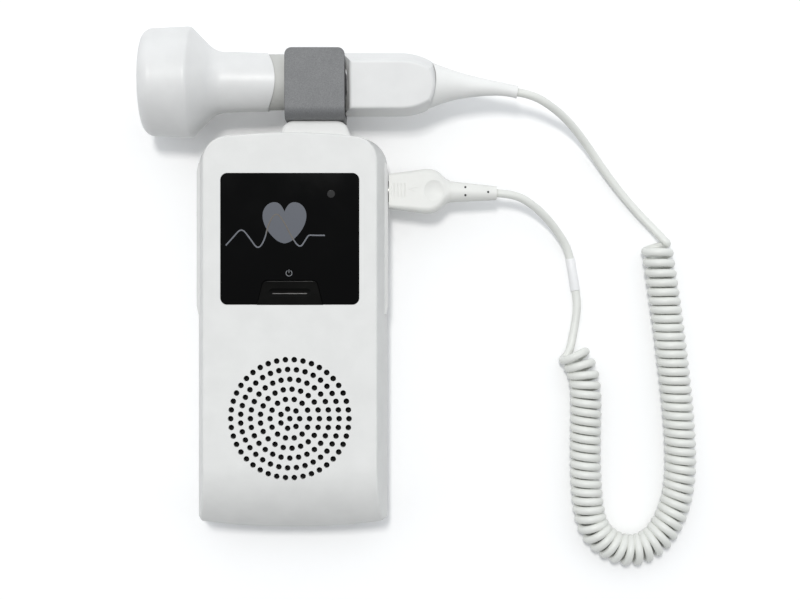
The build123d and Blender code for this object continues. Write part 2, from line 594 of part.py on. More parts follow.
def make_side_trim(side):
    """A strip let into both covers, standing a little proud, with slanted ends and a tab behind the wall."""
    lean = SIDE_LEAN * (TRIM_TOP - SEAM_Z) / (UNIT_DEPTH - SEAM_Z)
    section = make_face(Polyline((TRIM_INNER_X, TRIM_BOTTOM), (HALF_WIDTH - 0.3, TRIM_BOTTOM),
                                 (TRIM_FACE_X, TRIM_BOTTOM + 2), (TRIM_FACE_X, TRIM_TOP - 1.1),
                                 (HALF_WIDTH - lean, TRIM_TOP), (TRIM_INNER_X, TRIM_TOP), close=True))
    strip = Pos(0, TRIM_HIGH, 0) * extrude(Plane.XZ * section, TRIM_HIGH - TRIM_LOW)
    plan = make_face(Polyline((TRIM_INNER_X, TRIM_LOW), (HALF_WIDTH - 0.4, TRIM_LOW),
                              (TRIM_FACE_X, TRIM_LOW + TRIM_END), (TRIM_FACE_X, TRIM_HIGH - TRIM_END),
                              (HALF_WIDTH - 0.4, TRIM_HIGH), (TRIM_INNER_X, TRIM_HIGH), close=True))
    strip = strip & extrude(plan, UNIT_DEPTH)
    front = strip.faces().sort_by(Axis.X)[-1]
    strip = fillet(front.edges(), 0.5)
    inner_wall = HALF_WIDTH - WALL - BACK_LEAN * (SEAM_Z - TRIM_BOTTOM) / SEAM_Z
    back_x = TRIM_INNER_X - TRIM_TAB_THICKNESS
    for end, out in ((TRIM_LOW, -1), (TRIM_HIGH, 1)):
        y0, y1 = sorted((end, end - out * TRIM_TAB))
        strip = strip + block(back_x, TRIM_INNER_X, y0, y1, TRIM_BOTTOM + 1, SEAM_Z - 1)
        y0, y1 = sorted((end + out * TRIM_TAB, end - out * TRIM_TAB))
        strip = strip + block(back_x, inner_wall - 2 * CLEAR_GAP, y0, y1, TRIM_BOTTOM + 1, SEAM_Z - 1)
    return strip if side > 0 else strip.mirror(Plane.YZ)


def make_left_trim():
    strip = make_side_trim(-1)
    half = WHEEL_THICKNESS / 2 + 2 * CLEAR_GAP
    slot = block(-2 * HALF_WIDTH, 0, WHEEL_Y - WHEEL_SLOT / 2, WHEEL_Y + WHEEL_SLOT / 2, CONTROL_Z - half,
                 CONTROL_Z + half)
    slot = fillet(slot.edges().filter_by(Axis.X), half - 0.1)
    strip = strip - slot
    strip = strip - bar(-2 * HALF_WIDTH, 0, JACK_Y, CONTROL_Z, JACK_BARREL_R + CLEAR_GAP / 2)
    return strip - bar(-2 * HALF_WIDTH, 0, PINHOLE_Y, CONTROL_Z, PINHOLE_R)


def make_right_trim():
    hole = bar(0, 2 * HALF_WIDTH, SOCKET_Y, CONTROL_Z, SOCKET_R + SOCKET_COLLAR + CLEAR_GAP / 2)
    return make_side_trim(1) - hole


# ---------------------------------------------------------------- main unit: panel, key and indicator
def make_display_panel():
    face = Pos(0, PANEL_Y, 0) * RectangleRounded(PANEL_WIDTH - 2 * FIT_GAP, PANEL_HEIGHT - 2 * FIT_GAP, PANEL_CORNER)
    face = face - key_outline(RUNNING_GAP) - Pos(LAMP_X, LAMP_Y) * Circle(LAMP_R + FIT_GAP)
    plate = Pos(0, 0, PANEL_UNDER_Z) * extrude(face, PANEL_THICKNESS)
    return chamfer(plate.edges().group_by(Axis.Z)[-1].filter_by(lambda e: e.length > 11), 0.15)


def make_power_key():
    top = UNIT_DEPTH - KEY_SINK
    flange_top = FACE_INNER_Z - RUNNING_GAP
    cap = Pos(0, 0, top - KEY_CAP) * extrude(key_outline(-FIT_GAP), KEY_CAP)
    cap = fillet(cap.edges().group_by(Axis.Z)[-1], 0.3)
    flange = Pos(0, 0, top - KEY_CAP) * extrude(key_outline(KEY_FLANGE), flange_top - top + KEY_CAP)
    middle = PANEL_BOTTOM + KEY_HEIGHT / 2
    r = (KEY_GROOVE_WIDTH ** 2 / 4 + KEY_GROOVE_DEPTH ** 2) / (2 * KEY_GROOVE_DEPTH)
    reach = (KEY_GROOVE_LENGTH - KEY_GROOVE_WIDTH) / 2
    height = top + r - KEY_GROOVE_DEPTH
    groove = (bar(-reach, reach, middle, height, r) + Pos(-reach, middle, height) * Sphere(r)
              + Pos(reach, middle, height) * Sphere(r))
    stem = block(-KEY_STEM / 2, KEY_STEM / 2, middle - KEY_STEM / 2, middle + KEY_STEM / 2, KEY_STEM_Z,
                 top - KEY_CAP)
    return cap - groove + flange + stem


def make_power_switch():
    """The fixed contact base that the key's dome snaps down on."""
    middle = PANEL_BOTTOM + KEY_HEIGHT / 2
    half = SWITCH_SIDE / 2
    base = block(-half, half, middle - half, middle + half, BOARD_TOP_Z, SWITCH_TOP_Z)
    return chamfer(base.edges().filter_by(Axis.Z), 0.6)


def make_key_dome():
    """A hollow silicone dome between the switch and the key's stem; it brings the key back up."""
    middle = PANEL_BOTTOM + KEY_HEIGHT / 2
    low, high = SWITCH_TOP_Z, KEY_STEM_Z
    under = high - 2 * DOME_WALL
    profile = make_face(Polyline((DOME_R - DOME_WALL, low), (DOME_R, low), (DOME_TOP_R, high - DOME_WALL),
                                 (DOME_TOP_R, high), (0, high), (0, low + KEY_TRAVEL), (PILL_R, low + KEY_TRAVEL),
                                 (PILL_R, under), (DOME_TOP_R - DOME_WALL, under), close=True))
    return Pos(0, middle, 0) * revolve(Plane.XZ * profile, Axis.Z)


def make_indicator_lens():
    """A light pipe from the board's lamp to the panel, with a collar under the panel."""
    pipe = post(LAMP_X, LAMP_Y, BOARD_TOP_Z + LED_HEIGHT, UNIT_DEPTH, LAMP_R)
    pipe = fillet(pipe.edges().group_by(Axis.Z)[-1], 0.25)
    return pipe + post(LAMP_X, LAMP_Y, PANEL_UNDER_Z - 1.2, PANEL_UNDER_Z, LAMP_R + 1)


def make_indicator_led():
    half = LED_SIDE / 2
    return block(LAMP_X - half, LAMP_X + half, LAMP_Y - half, LAMP_Y + half, BOARD_TOP_Z, BOARD_TOP_Z + LED_HEIGHT)


# ---------------------------------------------------------------- main unit: board
def make_main_board():
    middle = (BOARD_BOTTOM + BOARD_TOP) / 2
    plan = Pos(0, middle) * RectangleRounded(BOARD_WIDTH, BOARD_TOP - BOARD_BOTTOM, BOARD_CORNER)
    for x, y in screw_places():
        plan = plan - Pos(x, y) * Circle(BOSS_R + CLEAR_GAP)
    for x, y in post_places():
        plan = plan - Pos(x, y) * Circle(SMALL_SCREW_R + FIT_GAP)
    return Pos(0, 0, BOARD_Z) * extrude(plan, BOARD_THICKNESS)


def make_board_parts():
    """Chips and capacitors on the board's front side."""
    step = SMALL_CHIP + 2 * CAN_R
    parts = []
    for x, y, width, length in ((-step / 2, 0, CHIP_SIDE, CHIP_SIDE), (step, 0, 1.5 * SMALL_CHIP, SMALL_CHIP),
                                (-1.5 * step, -step, SMALL_CHIP, SMALL_CHIP), (step, -step, SMALL_CHIP, SMALL_CHIP)):
        parts.append(block(x - width / 2, x + width / 2, PANEL_Y + y - length / 2, PANEL_Y + y + length / 2,
                           BOARD_TOP_Z, BOARD_TOP_Z + CHIP_HEIGHT))
    for x, y in ((-1.8, 1.6), (-1.1, 1.8), (0.6, 1.4)):
        parts.append(post(x * step, PANEL_Y + y * step, BOARD_TOP_Z, BOARD_TOP_Z + CAN_HEIGHT, CAN_R))
    return group(parts)


def small_screw(x, y, seat_z):
    """A small screw driven upwards; seat_z is where its head bears."""
    head = post(x, y, seat_z - SMALL_SCREW_HEAD, seat_z, SMALL_SCREW_HEAD_R)
    shank = post(x, y, seat_z, seat_z + SMALL_SCREW_LENGTH - 2, SMALL_SCREW_R)
    low = seat_z - SMALL_SCREW_HEAD
    reach = 0.65 * SMALL_SCREW_HEAD_R
    return head + shank - block(x - reach, x + reach, y - SCREW_SLOT / 2, y + SCREW_SLOT / 2, low, low + SCREW_SLOT)


def make_board_screws():
    return group([small_screw(x, y, BOARD_Z) for x, y in post_places()])


# ---------------------------------------------------------------- main unit: speaker
def turned(points, y):
    """A ring or disc from its half profile of (radius, height) points, about an upright axis at y."""
    return Pos(0, y, 0) * revolve(Plane.XZ * make_face(Polyline(*points, close=True)), Axis.Z)


def make_grille_cloth():
    return post(0, SPEAKER_Y, FLANGE_TOP_Z, SEAT_Z, SPEAKER_R - CLEAR_GAP)


def make_speaker_frame():
    """A pressed basket: flange, sloping wall with four windows, and the back plate that holds the magnet."""
    throat = SPEAKER_R - 3
    back = MAGNET_R + 1
    basket = turned([(throat - 1, FLANGE_TOP_Z), (SPEAKER_R, FLANGE_TOP_Z), (SPEAKER_R, FLANGE_UNDER_Z),
                     (throat, FLANGE_UNDER_Z), (back, BASKET_Z), (0, BASKET_Z), (0, BASKET_Z + 1),
                     (back - 0.6, BASKET_Z + 1), (throat - 1, FLANGE_UNDER_Z)], SPEAKER_Y)
    for k in range(4):
        window = block(back + 1.5, SPEAKER_R - 4, -5, 5, BASKET_Z - 1, FLANGE_UNDER_Z - 0.5)
        basket = basket - Pos(0, SPEAKER_Y, 0) * Rot(0, 0, 90 * k) * window
    return basket


def make_speaker_magnet():
    return post(0, SPEAKER_Y, MAGNET_Z, BASKET_Z, MAGNET_R)


def make_speaker_cone():
    """A paper cone with a dust cap, glued to the flange by its edge and standing on the voice coil."""
    edge_z, neck_z = FLANGE_TOP_Z - 0.2, BASKET_Z + 2.2
    edge_r, neck_r = SPEAKER_R - 4.2, 7.0
    cap_z = neck_z + 1.6
    return turned([(edge_r, edge_z), (neck_r, neck_z), (neck_r, BASKET_Z + 1), (neck_r - CONE_WALL, BASKET_Z + 1),
                   (neck_r - CONE_WALL, neck_z + CONE_WALL), (0, cap_z), (0, cap_z + CONE_WALL),
                   (neck_r, neck_z + 2 * CONE_WALL), (edge_r - 0.5, edge_z), (edge_r - 0.5, FLANGE_TOP_Z),
                   (edge_r, FLANGE_TOP_Z)], SPEAKER_Y)


def make_speaker_retainer():
    high, low = FLANGE_UNDER_Z, FLANGE_UNDER_Z - RETAINER_THICKNESS
    plate = post(0, SPEAKER_Y, low, high, SPEAKER_R + RETAINER_LIP)
    for x, y in retainer_places():
        plate = plate + post(x, y, low, high, SMALL_SCREW_HEAD_R + 0.8)
    plate = plate - post(0, SPEAKER_Y, low - 1, high + 1, SPEAKER_R - RETAINER_LIP)
    for x, y in retainer_places():
        plate = plate - post(x, y, low - 1, high + 1, SMALL_SCREW_R + FIT_GAP)
    return plate


def make_retainer_screws():
    seat = FLANGE_UNDER_Z - RETAINER_THICKNESS
    return group([small_screw(x, y, seat) for x, y in retainer_places()])


# ---------------------------------------------------------------- main unit: controls on the sides
def make_volume_wheel():
    half = WHEEL_THICKNESS / 2
    wheel = post(WHEEL_X, WHEEL_Y, CONTROL_Z - half, CONTROL_Z + half, WHEEL_R)
    wheel = chamfer(wheel.edges().filter_by(GeomType.CIRCLE), 0.3)
    notches = []
    for k in range(WHEEL_NOTCHES):
        angle = 2 * pi * k / WHEEL_NOTCHES
        notches.append(post(WHEEL_X + WHEEL_R * cos(angle), WHEEL_Y + WHEEL_R * sin(angle),
                            CONTROL_Z - WHEEL_THICKNESS, CONTROL_Z + WHEEL_THICKNESS, WHEEL_NOTCH_R))
    bore = post(WHEEL_X, WHEEL_Y, CONTROL_Z - half - 1, CONTROL_Z + half + 1, WHEEL_SHAFT_R + FIT_GAP)
    return wheel - notches - bore


def make_volume_control():
    """The turning resistor under the board; its shaft carries the wheel."""
    under = CONTROL_Z + WHEEL_THICKNESS / 2 + CLEAR_GAP
    half = WHEEL_BODY / 2
    inner = -(TRIM_INNER_X - CLEAR_GAP)
    body = block(inner, WHEEL_X + half, WHEEL_Y - half, WHEEL_Y + half, under, BOARD_Z)
    shaft = post(WHEEL_X, WHEEL_Y, CONTROL_Z - WHEEL_THICKNESS / 2 - CLEAR_GAP, under, WHEEL_SHAFT_R)
    return body + shaft


def make_headphone_jack():
    half = JACK_WIDTH / 2
    mouth = -(TRIM_FACE_X - FIT_GAP)
    back = mouth + JACK_DEPTH + 1.5
    body = block(-TRIM_INNER_X, back, JACK_Y - half, JACK_Y + half, BOARD_Z - JACK_HEIGHT, BOARD_Z)
    barrel = bar(mouth, -TRIM_INNER_X, JACK_Y, CONTROL_Z, JACK_BARREL_R)
    return body + barrel - bar(mouth - 1, mouth + JACK_DEPTH, JACK_Y, CONTROL_Z, JACK_R)


def make_probe_socket():
    side = BOARD_Z - CONTROL_Z
    body = block(SOCKET_END_X - SOCKET_BACK, TRIM_INNER_X, SOCKET_Y - side - 1, SOCKET_Y + side + 1,
                 CONTROL_Z - side, BOARD_Z)
    collar = bar(TRIM_INNER_X, SOCKET_MOUTH_X, SOCKET_Y, CONTROL_Z, SOCKET_R + SOCKET_COLLAR)
    body = body + collar - bar(SOCKET_END_X, SOCKET_MOUTH_X + 1, SOCKET_Y, CONTROL_Z, SOCKET_R)
    for y, z in pin_places():
        body = body - bar(SOCKET_END_X - SOCKET_BACK + 1, SOCKET_END_X + 1, y, z, PIN_R)
    return body


def pin_places():
    """The contact pins, evenly round the socket's axis."""
    return [(SOCKET_Y + PIN_CIRCLE * cos(pi / 4 + 2 * pi * k / PIN_COUNT),
             CONTROL_Z + PIN_CIRCLE * sin(pi / 4 + 2 * pi * k / PIN_COUNT)) for k in range(PIN_COUNT)]


def make_socket_pins():
    back = SOCKET_END_X - SOCKET_BACK + 1
    return group([bar(back, SOCKET_END_X + PIN_LENGTH, y, z, PIN_R) for y, z in pin_places()])


# ---------------------------------------------------------------- main unit: battery bay
def make_cell(side):
    """A penlight cell; side is -1 or +1. The two lie head to tail."""
    plate_y = BAY_START - CONTACT_THICKNESS if side < 0 else BAY_END + CONTACT_THICKNESS
    inward = -1 if side < 0 else 1
    nub_end = plate_y
    shoulder = nub_end + inward * CELL_NUB
    end = shoulder + inward * CELL_LENGTH
    x = side * CELL_X
    can = Pos(x, (shoulder + end) / 2, CELL_Z) * Rot(90, 0, 0) * Cylinder(CELL_R, CELL_LENGTH)
    can = fillet(can.edges().filter_by(GeomType.CIRCLE), 0.6)
    nub = Pos(x, (nub_end + shoulder) / 2, CELL_Z) * Rot(90, 0, 0) * Cylinder(CELL_NUB_R, CELL_NUB)
    return can + nub


def make_battery_plates():
    """A flat contact at each cell's head and behind each spring."""
    plates = []
    for side in (-1, 1):
        for y in (BAY_END, BAY_START - CONTACT_THICKNESS):
            x = side * CELL_X
            half = CONTACT_SIDE / 2
            plates.append(block(x - half, x + half, y, y + CONTACT_THICKNESS, CELL_Z - half, CELL_Z + half))
    return group(plates)


def make_battery_springs():
    """A coil spring at each cell's flat end."""
    springs = []
    for side in (-1, 1):
        low = BAY_END + CONTACT_THICKNESS if side < 0 else BAY_START - CONTACT_THICKNESS - SPRING_ROOM
        height = SPRING_ROOM - 2 * SPRING_WIRE_R - 0.1
        line = Helix(pitch=height / SPRING_TURNS, height=height, radius=SPRING_R)
        wire = sweep(Plane(origin=line @ 0, z_dir=line % 0) * Circle(SPRING_WIRE_R), path=line)
        springs.append(Pos(side * CELL_X, low + SPRING_WIRE_R + 0.05, CELL_Z) * Rot(-90, 0, 0) * wire)
    return group(springs)


def make_battery_door():
    half = DOOR_WIDTH / 2
    plate = block(-half, half, -UNIT_LENGTH, DOOR_TOP, DOOR_RECESS, DOOR_INNER_Z)
    tongue_z = DOOR_INNER_Z - DOOR_TONGUE_THICKNESS
    tongues = block(-half - DOOR_TONGUE, half + DOOR_TONGUE, BAY_END, DOOR_TOP, tongue_z, DOOR_INNER_Z)
    door = (plate + tongues) & back_form(0.05, 0)
    for k in range(GRIP_GROOVES):
        y = DOOR_TOP - 6 - k * GRIP_PITCH
        door = door - bar(-GRIP_WIDTH / 2, GRIP_WIDTH / 2, y, DOOR_RECESS, GRIP_GROOVE_R)
    return door


# ---------------------------------------------------------------- clip
def make_probe_clip():
    """A bent strip, open away from the unit: front plate, web, back jaw, and a root held between the covers."""
    top = CLIP_UNDER_Z + CLIP_SHEET
    bottom = CLIP_JAW_Z - CLIP_SHEET
    web_in = CLIP_WEB_Y + CLIP_SHEET + 0.2
    outer = make_face(Polyline((CLIP_WEB_Y, bottom), (CLIP_TIP, bottom), (CLIP_TIP, top), (CLIP_WEB_Y, top),
                               close=True))
    outer = fillet(outer.vertices().sort_by(Axis.X)[:2], CLIP_BEND)
    inner = make_face(Polyline((web_in, CLIP_JAW_Z), (CLIP_TIP + 1, CLIP_JAW_Z), (CLIP_TIP + 1, CLIP_UNDER_Z),
                               (web_in, CLIP_UNDER_Z), close=True))
    inner = fillet(inner.vertices().sort_by(Axis.X)[:2], CLIP_BEND - CLIP_SHEET)
    x0, x1 = CLIP_X - CLIP_WIDTH / 2, CLIP_X + CLIP_WIDTH / 2
    strip = Pos(x1, 0, 0) * extrude(Plane.YZ * (outer - inner), -CLIP_WIDTH)
    strip = strip - block(x0 - 1, x1 + 1, CLIP_JAW_TIP, CLIP_TIP + 1, 0, PROBE_Z)
    tips = strip.edges().filter_by(Axis.Z).group_by(Axis.Y)[-1]
    jaw_tips = strip.edges().filter_by(Axis.Z).filter_by(lambda e: abs(e.center().Y - CLIP_JAW_TIP) < 0.01)
    strip = fillet(tips + jaw_tips, CLIP_CORNER)
    rim = strip.faces().sort_by(Axis.Z)[-1].edges()
    strip = fillet(rim.filter_by(lambda e: e.center().Y > CLIP_WEB_Y + CLIP_BEND + 0.1), CLIP_EDGE)
    half, rise = CLIP_ROOT_WIDTH / 2, CLIP_ROOT_HEIGHT / 2
    end_wall = HALF_LENGTH - WALL - TOP_BOW / 2
    root = block(CLIP_X - half, CLIP_X + half, end_wall - CLIP_SHEET, CLIP_WEB_Y + 1, SEAM_Z - rise, SEAM_Z + rise)
    wide, tall = half + CLIP_FLANGE, rise + CLIP_FLANGE
    flange = block(CLIP_X - wide, CLIP_X + wide, end_wall - CLIP_SHEET, end_wall - 0.4, SEAM_Z - tall, SEAM_Z + tall)
    return strip + root + flange


# ---------------------------------------------------------------- probe
def probe_turned(profile):
    """A body of revolution about the probe's axis, from a half profile in (x, radius)."""
    return Pos(0, PROBE_Y, PROBE_Z) * revolve(Plane.XY * profile, Axis.X)


def make_probe_face():
    """The smooth cap that touches the skin, with a spigot that goes into the head."""
    rim = (HEAD_FACE_X + CAP_DOME, HEAD_SEAM_R)
    inner_r, inner_x = BACKING_R + FIT_GAP, HEAD_FACE_X + FACE_CAP
    spigot_x = HEAD_SEAM_X + FACE_SPIGOT
    edges = (ThreePointArc((HEAD_FACE_X, 0), (HEAD_FACE_X + CAP_DOME / 4, HEAD_SEAM_R / 2), rim)
             + Polyline(rim, (HEAD_SEAM_X, HEAD_SEAM_R), (HEAD_SEAM_X, SPIGOT_R), (spigot_x, SPIGOT_R),
                        (spigot_x, inner_r), (inner_x, inner_r), (inner_x, 0), (HEAD_FACE_X, 0)))
    return probe_turned(rounded(make_face(edges), *rim, CAP_CORNER))


def make_probe_head():
    """The head's housing: a shallow drum with a soft ridge, a flare that runs into the neck, and the neck."""
    inner_neck = BAND_INNER_R + FIT_GAP
    profile = make_face(Polyline((HEAD_SEAM_X, HEAD_SEAM_R), (HEAD_RIDGE_X, HEAD_R), (NECK_START_X, NECK_START_R),
                                 (NECK_END_X, NECK_END_R), (NECK_END_X, inner_neck), (NECK_START_X, inner_neck),
                                 (HEAD_RIDGE_X - HEAD_WALL / 2, HEAD_R - HEAD_WALL),
                                 (HEAD_SEAM_X, HEAD_SEAM_R - HEAD_WALL), close=True))
    profile = rounded(profile, HEAD_RIDGE_X, HEAD_R, RIDGE_EDGE)
    profile = rounded(profile, NECK_START_X, NECK_START_R, FLARE_CURVE)
    return neck_cut(probe_turned(profile))


def neck_cut(shape):
    """The neck ends in a curve that bulges towards the clip."""
    centre = NECK_END_X - END_CURVE
    keep = upright_cylinder(centre, PROBE_Y, END_CURVE)
    keep = keep + block(-UNIT_LENGTH, centre, 0, UNIT_LENGTH, -UNIT_DEPTH, 2 * UNIT_DEPTH)
    return shape & keep


def make_grip_band():
    """The softer band that the clip grips, on the handle's spigot."""
    start = NECK_END_X - 6
    band = bar(start, HANDLE_START_X, PROBE_Y, PROBE_Z, BAND_R)
    centre = NECK_END_X - END_CURVE
    band = band - upright_cylinder(centre, PROBE_Y, END_CURVE + FIT_GAP)
    return band - bar(start - 1, HANDLE_START_X + 1, PROBE_Y, PROBE_Z, BAND_INNER_R + FIT_GAP)


def handle_outline():
    """The handle seen from the front, as a face in the XY plane."""
    half = HANDLE_HALF_WIDTH
    end_x = HANDLE_END_X - 0.3
    dx = end_x - HANDLE_TURN_X
    drop = HANDLE_TURN_R - sqrt(HANDLE_TURN_R ** 2 - dx ** 2)
    mid_drop = HANDLE_TURN_R - sqrt(HANDLE_TURN_R ** 2 - dx ** 2 / 4)
    lower = ThreePointArc((HANDLE_TURN_X, -half), (HANDLE_TURN_X + dx / 2, mid_drop - half), (end_x, drop - half))
    upper = ThreePointArc((end_x, half - drop), (HANDLE_TURN_X + dx / 2, half - mid_drop), (HANDLE_TURN_X, half))
    edges = (Line((HANDLE_START_X, -half), (HANDLE_TURN_X, -half)) + lower
             + ThreePointArc((end_x, drop - half), (HANDLE_TIP_X, 0), (end_x, half - drop)) + upper
             + Line((HANDLE_TURN_X, half), (HANDLE_START_X, half))
             + Line((HANDLE_START_X, half), (HANDLE_START_X, -half)))
    return Pos(0, HANDLE_Y) * make_face(edges)


def make_probe_handle():
    """The handle: wide at its middle height, drawn in to a flat top and bottom, with a spigot under the band."""
    plan = Pos(0, 0, PROBE_Z) * handle_outline()
    upper = extrude(plan, HANDLE_RISE, taper=HANDLE_DRAFT)
    upper = fillet(upper.edges().group_by(Axis.Z)[-1], HANDLE_EDGE)
    lower = extrude(plan, HANDLE_RISE, taper=HANDLE_DRAFT)
    lower = fillet(lower.edges().group_by(Axis.Z)[-1], 3 * HANDLE_EDGE)
    body = upper + lower.mirror(Plane.XY.offset(PROBE_Z))
    low, high = HANDLE_RISE - HANDLE_RAMP_DROP, HANDLE_RISE + HANDLE_RAMP_DROP
    slope_x = HANDLE_START_X + 2 * HANDLE_RAMP
    ramps = make_face(Polyline((HANDLE_START_X, low), (slope_x, high), (HANDLE_TIP_X, high), (HANDLE_TIP_X, -high),
                               (slope_x, -high), (HANDLE_START_X, -low), close=True))
    body = body & Pos(0, 0, PROBE_Z) * extrude(Plane.XZ * ramps, UNIT_LENGTH, both=True)
    middle = Pos(0, HANDLE_Y, PROBE_Z)
    body = middle * Rot(HANDLE_ROLL, 0, 0) * Pos(0, -HANDLE_Y, -PROBE_Z) * body
    body = body & upright_cylinder(HANDLE_END_X - END_CURVE, PROBE_Y, END_CURVE)
    spigot = bar(NECK_END_X - 8, HANDLE_START_X + 1, PROBE_Y, PROBE_Z, BAND_INNER_R)
    body = body + spigot
    hollow = bar(NECK_END_X - 9, HANDLE_START_X + 2, PROBE_Y, PROBE_Z, BORE_R)
    chamber = bar(HANDLE_START_X + 1, HANDLE_END_X - 6, HANDLE_Y, PROBE_Z, BORE_R)
    outlet = bar(HANDLE_START_X, HANDLE_END_X + 5, HANDLE_Y, PROBE_Z, CORD_R + 0.6)
    return body - hollow - chamber - outlet


def make_probe_boot():
    """The soft tail: round sections that shrink and droop towards the cord."""
    places = [(HANDLE_END_X + along, HANDLE_Y - droop, r) for along, droop, r in BOOT_RINGS]
    places += [(BOOT_TIP_X, BOOT_TIP_Y, BOOT_TIP_R)]
    sections = []
    for k, (x, y, r) in enumerate(places):
        before, after = places[max(k - 1, 0)], places[min(k + 1, len(places) - 1)]
        heading = Vector(after[0] - before[0], after[1] - before[1], 0)
        sections.append(Plane(origin=(x, y, PROBE_Z), z_dir=heading) * Circle(r))
    return loft(sections) - upright_cylinder(HANDLE_END_X - END_CURVE, PROBE_Y, END_CURVE + FIT_GAP)


def make_seal_ring():
    """A soft ring between the face cap and the head's mouth."""
    x = HEAD_SEAM_X + FACE_SPIGOT
    ring = bar(x, x + SEAL_THICKNESS, PROBE_Y, PROBE_Z, SPIGOT_R)
    return ring - bar(x - 1, x + 2, PROBE_Y, PROBE_Z, SPIGOT_R - SPIGOT_WALL)


def crystal_places():
    """One crystal in the middle and a ring of them round it."""
    places = [(PROBE_Y, PROBE_Z)]
    for k in range(CRYSTAL_COUNT):
        angle = 2 * pi * k / CRYSTAL_COUNT
        places.append((PROBE_Y + CRYSTAL_CIRCLE * cos(angle), PROBE_Z + CRYSTAL_CIRCLE * sin(angle)))
    return places


def make_probe_crystals():
    x = HEAD_FACE_X + FACE_CAP
    return group([bar(x, x + CRYSTAL_THICKNESS, y, z, CRYSTAL_R) for y, z in crystal_places()])


def make_crystal_backing():
    """The damping disc behind the crystals, carried inside the face cap's spigot."""
    x = HEAD_FACE_X + FACE_CAP + CRYSTAL_THICKNESS
    disc = bar(x, x + BACKING_THICKNESS, PROBE_Y, PROBE_Z, BACKING_R)
    return disc - bar(x + 1, x + BACKING_THICKNESS + 1, PROBE_Y, PROBE_Z, 2.0)


def probe_board_ends():
    """Where the probe's board starts in the head and ends in the handle."""
    return HEAD_RIDGE_X + FLARE_LENGTH, HANDLE_START_X - HANDLE_WALL


def make_probe_board():
    """The probe's own small board; it stands in the handle's bore and reaches into the head."""
    x0, x1 = probe_board_ends()
    half, rise = BORE_R - 3 * FIT_GAP, PROBE_BOARD_THICKNESS / 2
    return block(x0, x1, PROBE_Y - half, PROBE_Y + half, PROBE_Z - rise, PROBE_Z + rise)


def make_probe_board_parts():
    x0, x1 = probe_board_ends()
    half, low = SMALL_CHIP / 2, PROBE_Z + PROBE_BOARD_THICKNESS / 2
    chips = []
    for k in range(PROBE_CHIPS):
        x = x0 + (x1 - x0) * (k + 0.5) / PROBE_CHIPS
        chips.append(block(x - half, x + half, PROBE_Y - half, PROBE_Y + half, low, low + CHIP_HEIGHT))
    return group(chips)


def make_cable_clamp():
    """The clamp block in the handle that the cord's wires pass through."""
    x1 = HANDLE_END_X - 6
    ring = bar(x1 - CLAMP_LENGTH, x1, HANDLE_Y, PROBE_Z, BORE_R - FIT_GAP)
    return ring - bar(x1 - 2 * CLAMP_LENGTH, x1 + 1, HANDLE_Y, PROBE_Z, CORD_R)


# ---------------------------------------------------------------- plug
def make_plug_body():
    """The moulded body: flat above and below, wider towards the tail, then a round neck that tapers to the cord."""
    sections = []
    for back, wider, thicker in PLUG_SECTIONS:
        width, thickness = PLUG_WIDTH + wider, PLUG_THICKNESS + thicker
        edge = PLUG_EDGE + (PLUG_NECK_R - 2 * FIT_GAP - PLUG_EDGE) * (back / PLUG_SHOULDER) ** 4
        place = Plane(origin=(PLUG_FRONT_X + back, SOCKET_Y, CONTROL_Z), x_dir=(0, 1, 0), z_dir=(1, 0, 0))
        sections.append(place * RectangleRounded(width, thickness, edge))
    body = loft(sections)
    root_x = PLUG_SHOULDER_X - PLUG_NECK_R
    heading = Vector(PLUG_TAIL_X - root_x, PLUG_TAIL_Y - SOCKET_Y, 0)
    thick = Plane(origin=(root_x, SOCKET_Y, CONTROL_Z), z_dir=heading) * Circle(PLUG_NECK_R)
    thin = Plane(origin=(PLUG_TAIL_X, PLUG_TAIL_Y, CONTROL_Z), z_dir=heading) * Circle(PLUG_TAIL_R)
    body = body + loft([thick, thin])
    seat_end = PLUG_FRONT_X + PLUG_SHELL_SEAT
    body = body - bar(PLUG_FRONT_X - 1, seat_end, SOCKET_Y, CONTROL_Z, PLUG_SHELL_R + FIT_GAP)
    for back, aside in RELIEF_HOLES:
        body = body - post(PLUG_TAIL_X - back, PLUG_TAIL_Y + aside, CONTROL_Z + PLUG_TAIL_R / 2,
                           CONTROL_Z + PLUG_THICKNESS, RELIEF_HOLE_R)
    top = CONTROL_Z + PLUG_THICKNESS / 2
    for k in range(PLUG_GRIP_LINES):
        x = PLUG_FRONT_X + PLUG_GRIP_START + k * PLUG_GRIP_PITCH
        line = Rot(90, 0, 0) * Cylinder(PLUG_GRIP_R, PLUG_GRIP_LENGTH)
        body = body - Pos(x, SOCKET_Y, top + PLUG_GRIP_R / 3) * line
    ball = Pos(PLUG_FRONT_X + DIMPLE_BACK, SOCKET_Y, top + DIMPLE_BALL_R - DIMPLE_DEPTH)
    return body - ball * Rot(90, 0, 0) * Sphere(DIMPLE_BALL_R)


def make_plug_shell():
    """The plug's metal barrel, half in the plug's body and half in the socket."""
    front = SOCKET_END_X + 0.5
    end = PLUG_FRONT_X + PLUG_SHELL_SEAT
    barrel = bar(front, end, SOCKET_Y, CONTROL_Z, PLUG_SHELL_R)
    return barrel - bar(front - 1, end + 1, SOCKET_Y, CONTROL_Z, PLUG_SHELL_R - PLUG_SHELL_WALL)


def make_plug_insert():
    """The insulator in the barrel, with a hole for each pin."""
    front = SOCKET_END_X + 1.0
    end = PLUG_FRONT_X + PLUG_SHELL_SEAT
    insert = bar(front, end, SOCKET_Y, CONTROL_Z, PLUG_SHELL_R - PLUG_SHELL_WALL - FIT_GAP)
    for y, z in pin_places():
        insert = insert - bar(front - 1, front + PIN_LENGTH, y, z, PIN_R + RUNNING_GAP)
    return insert


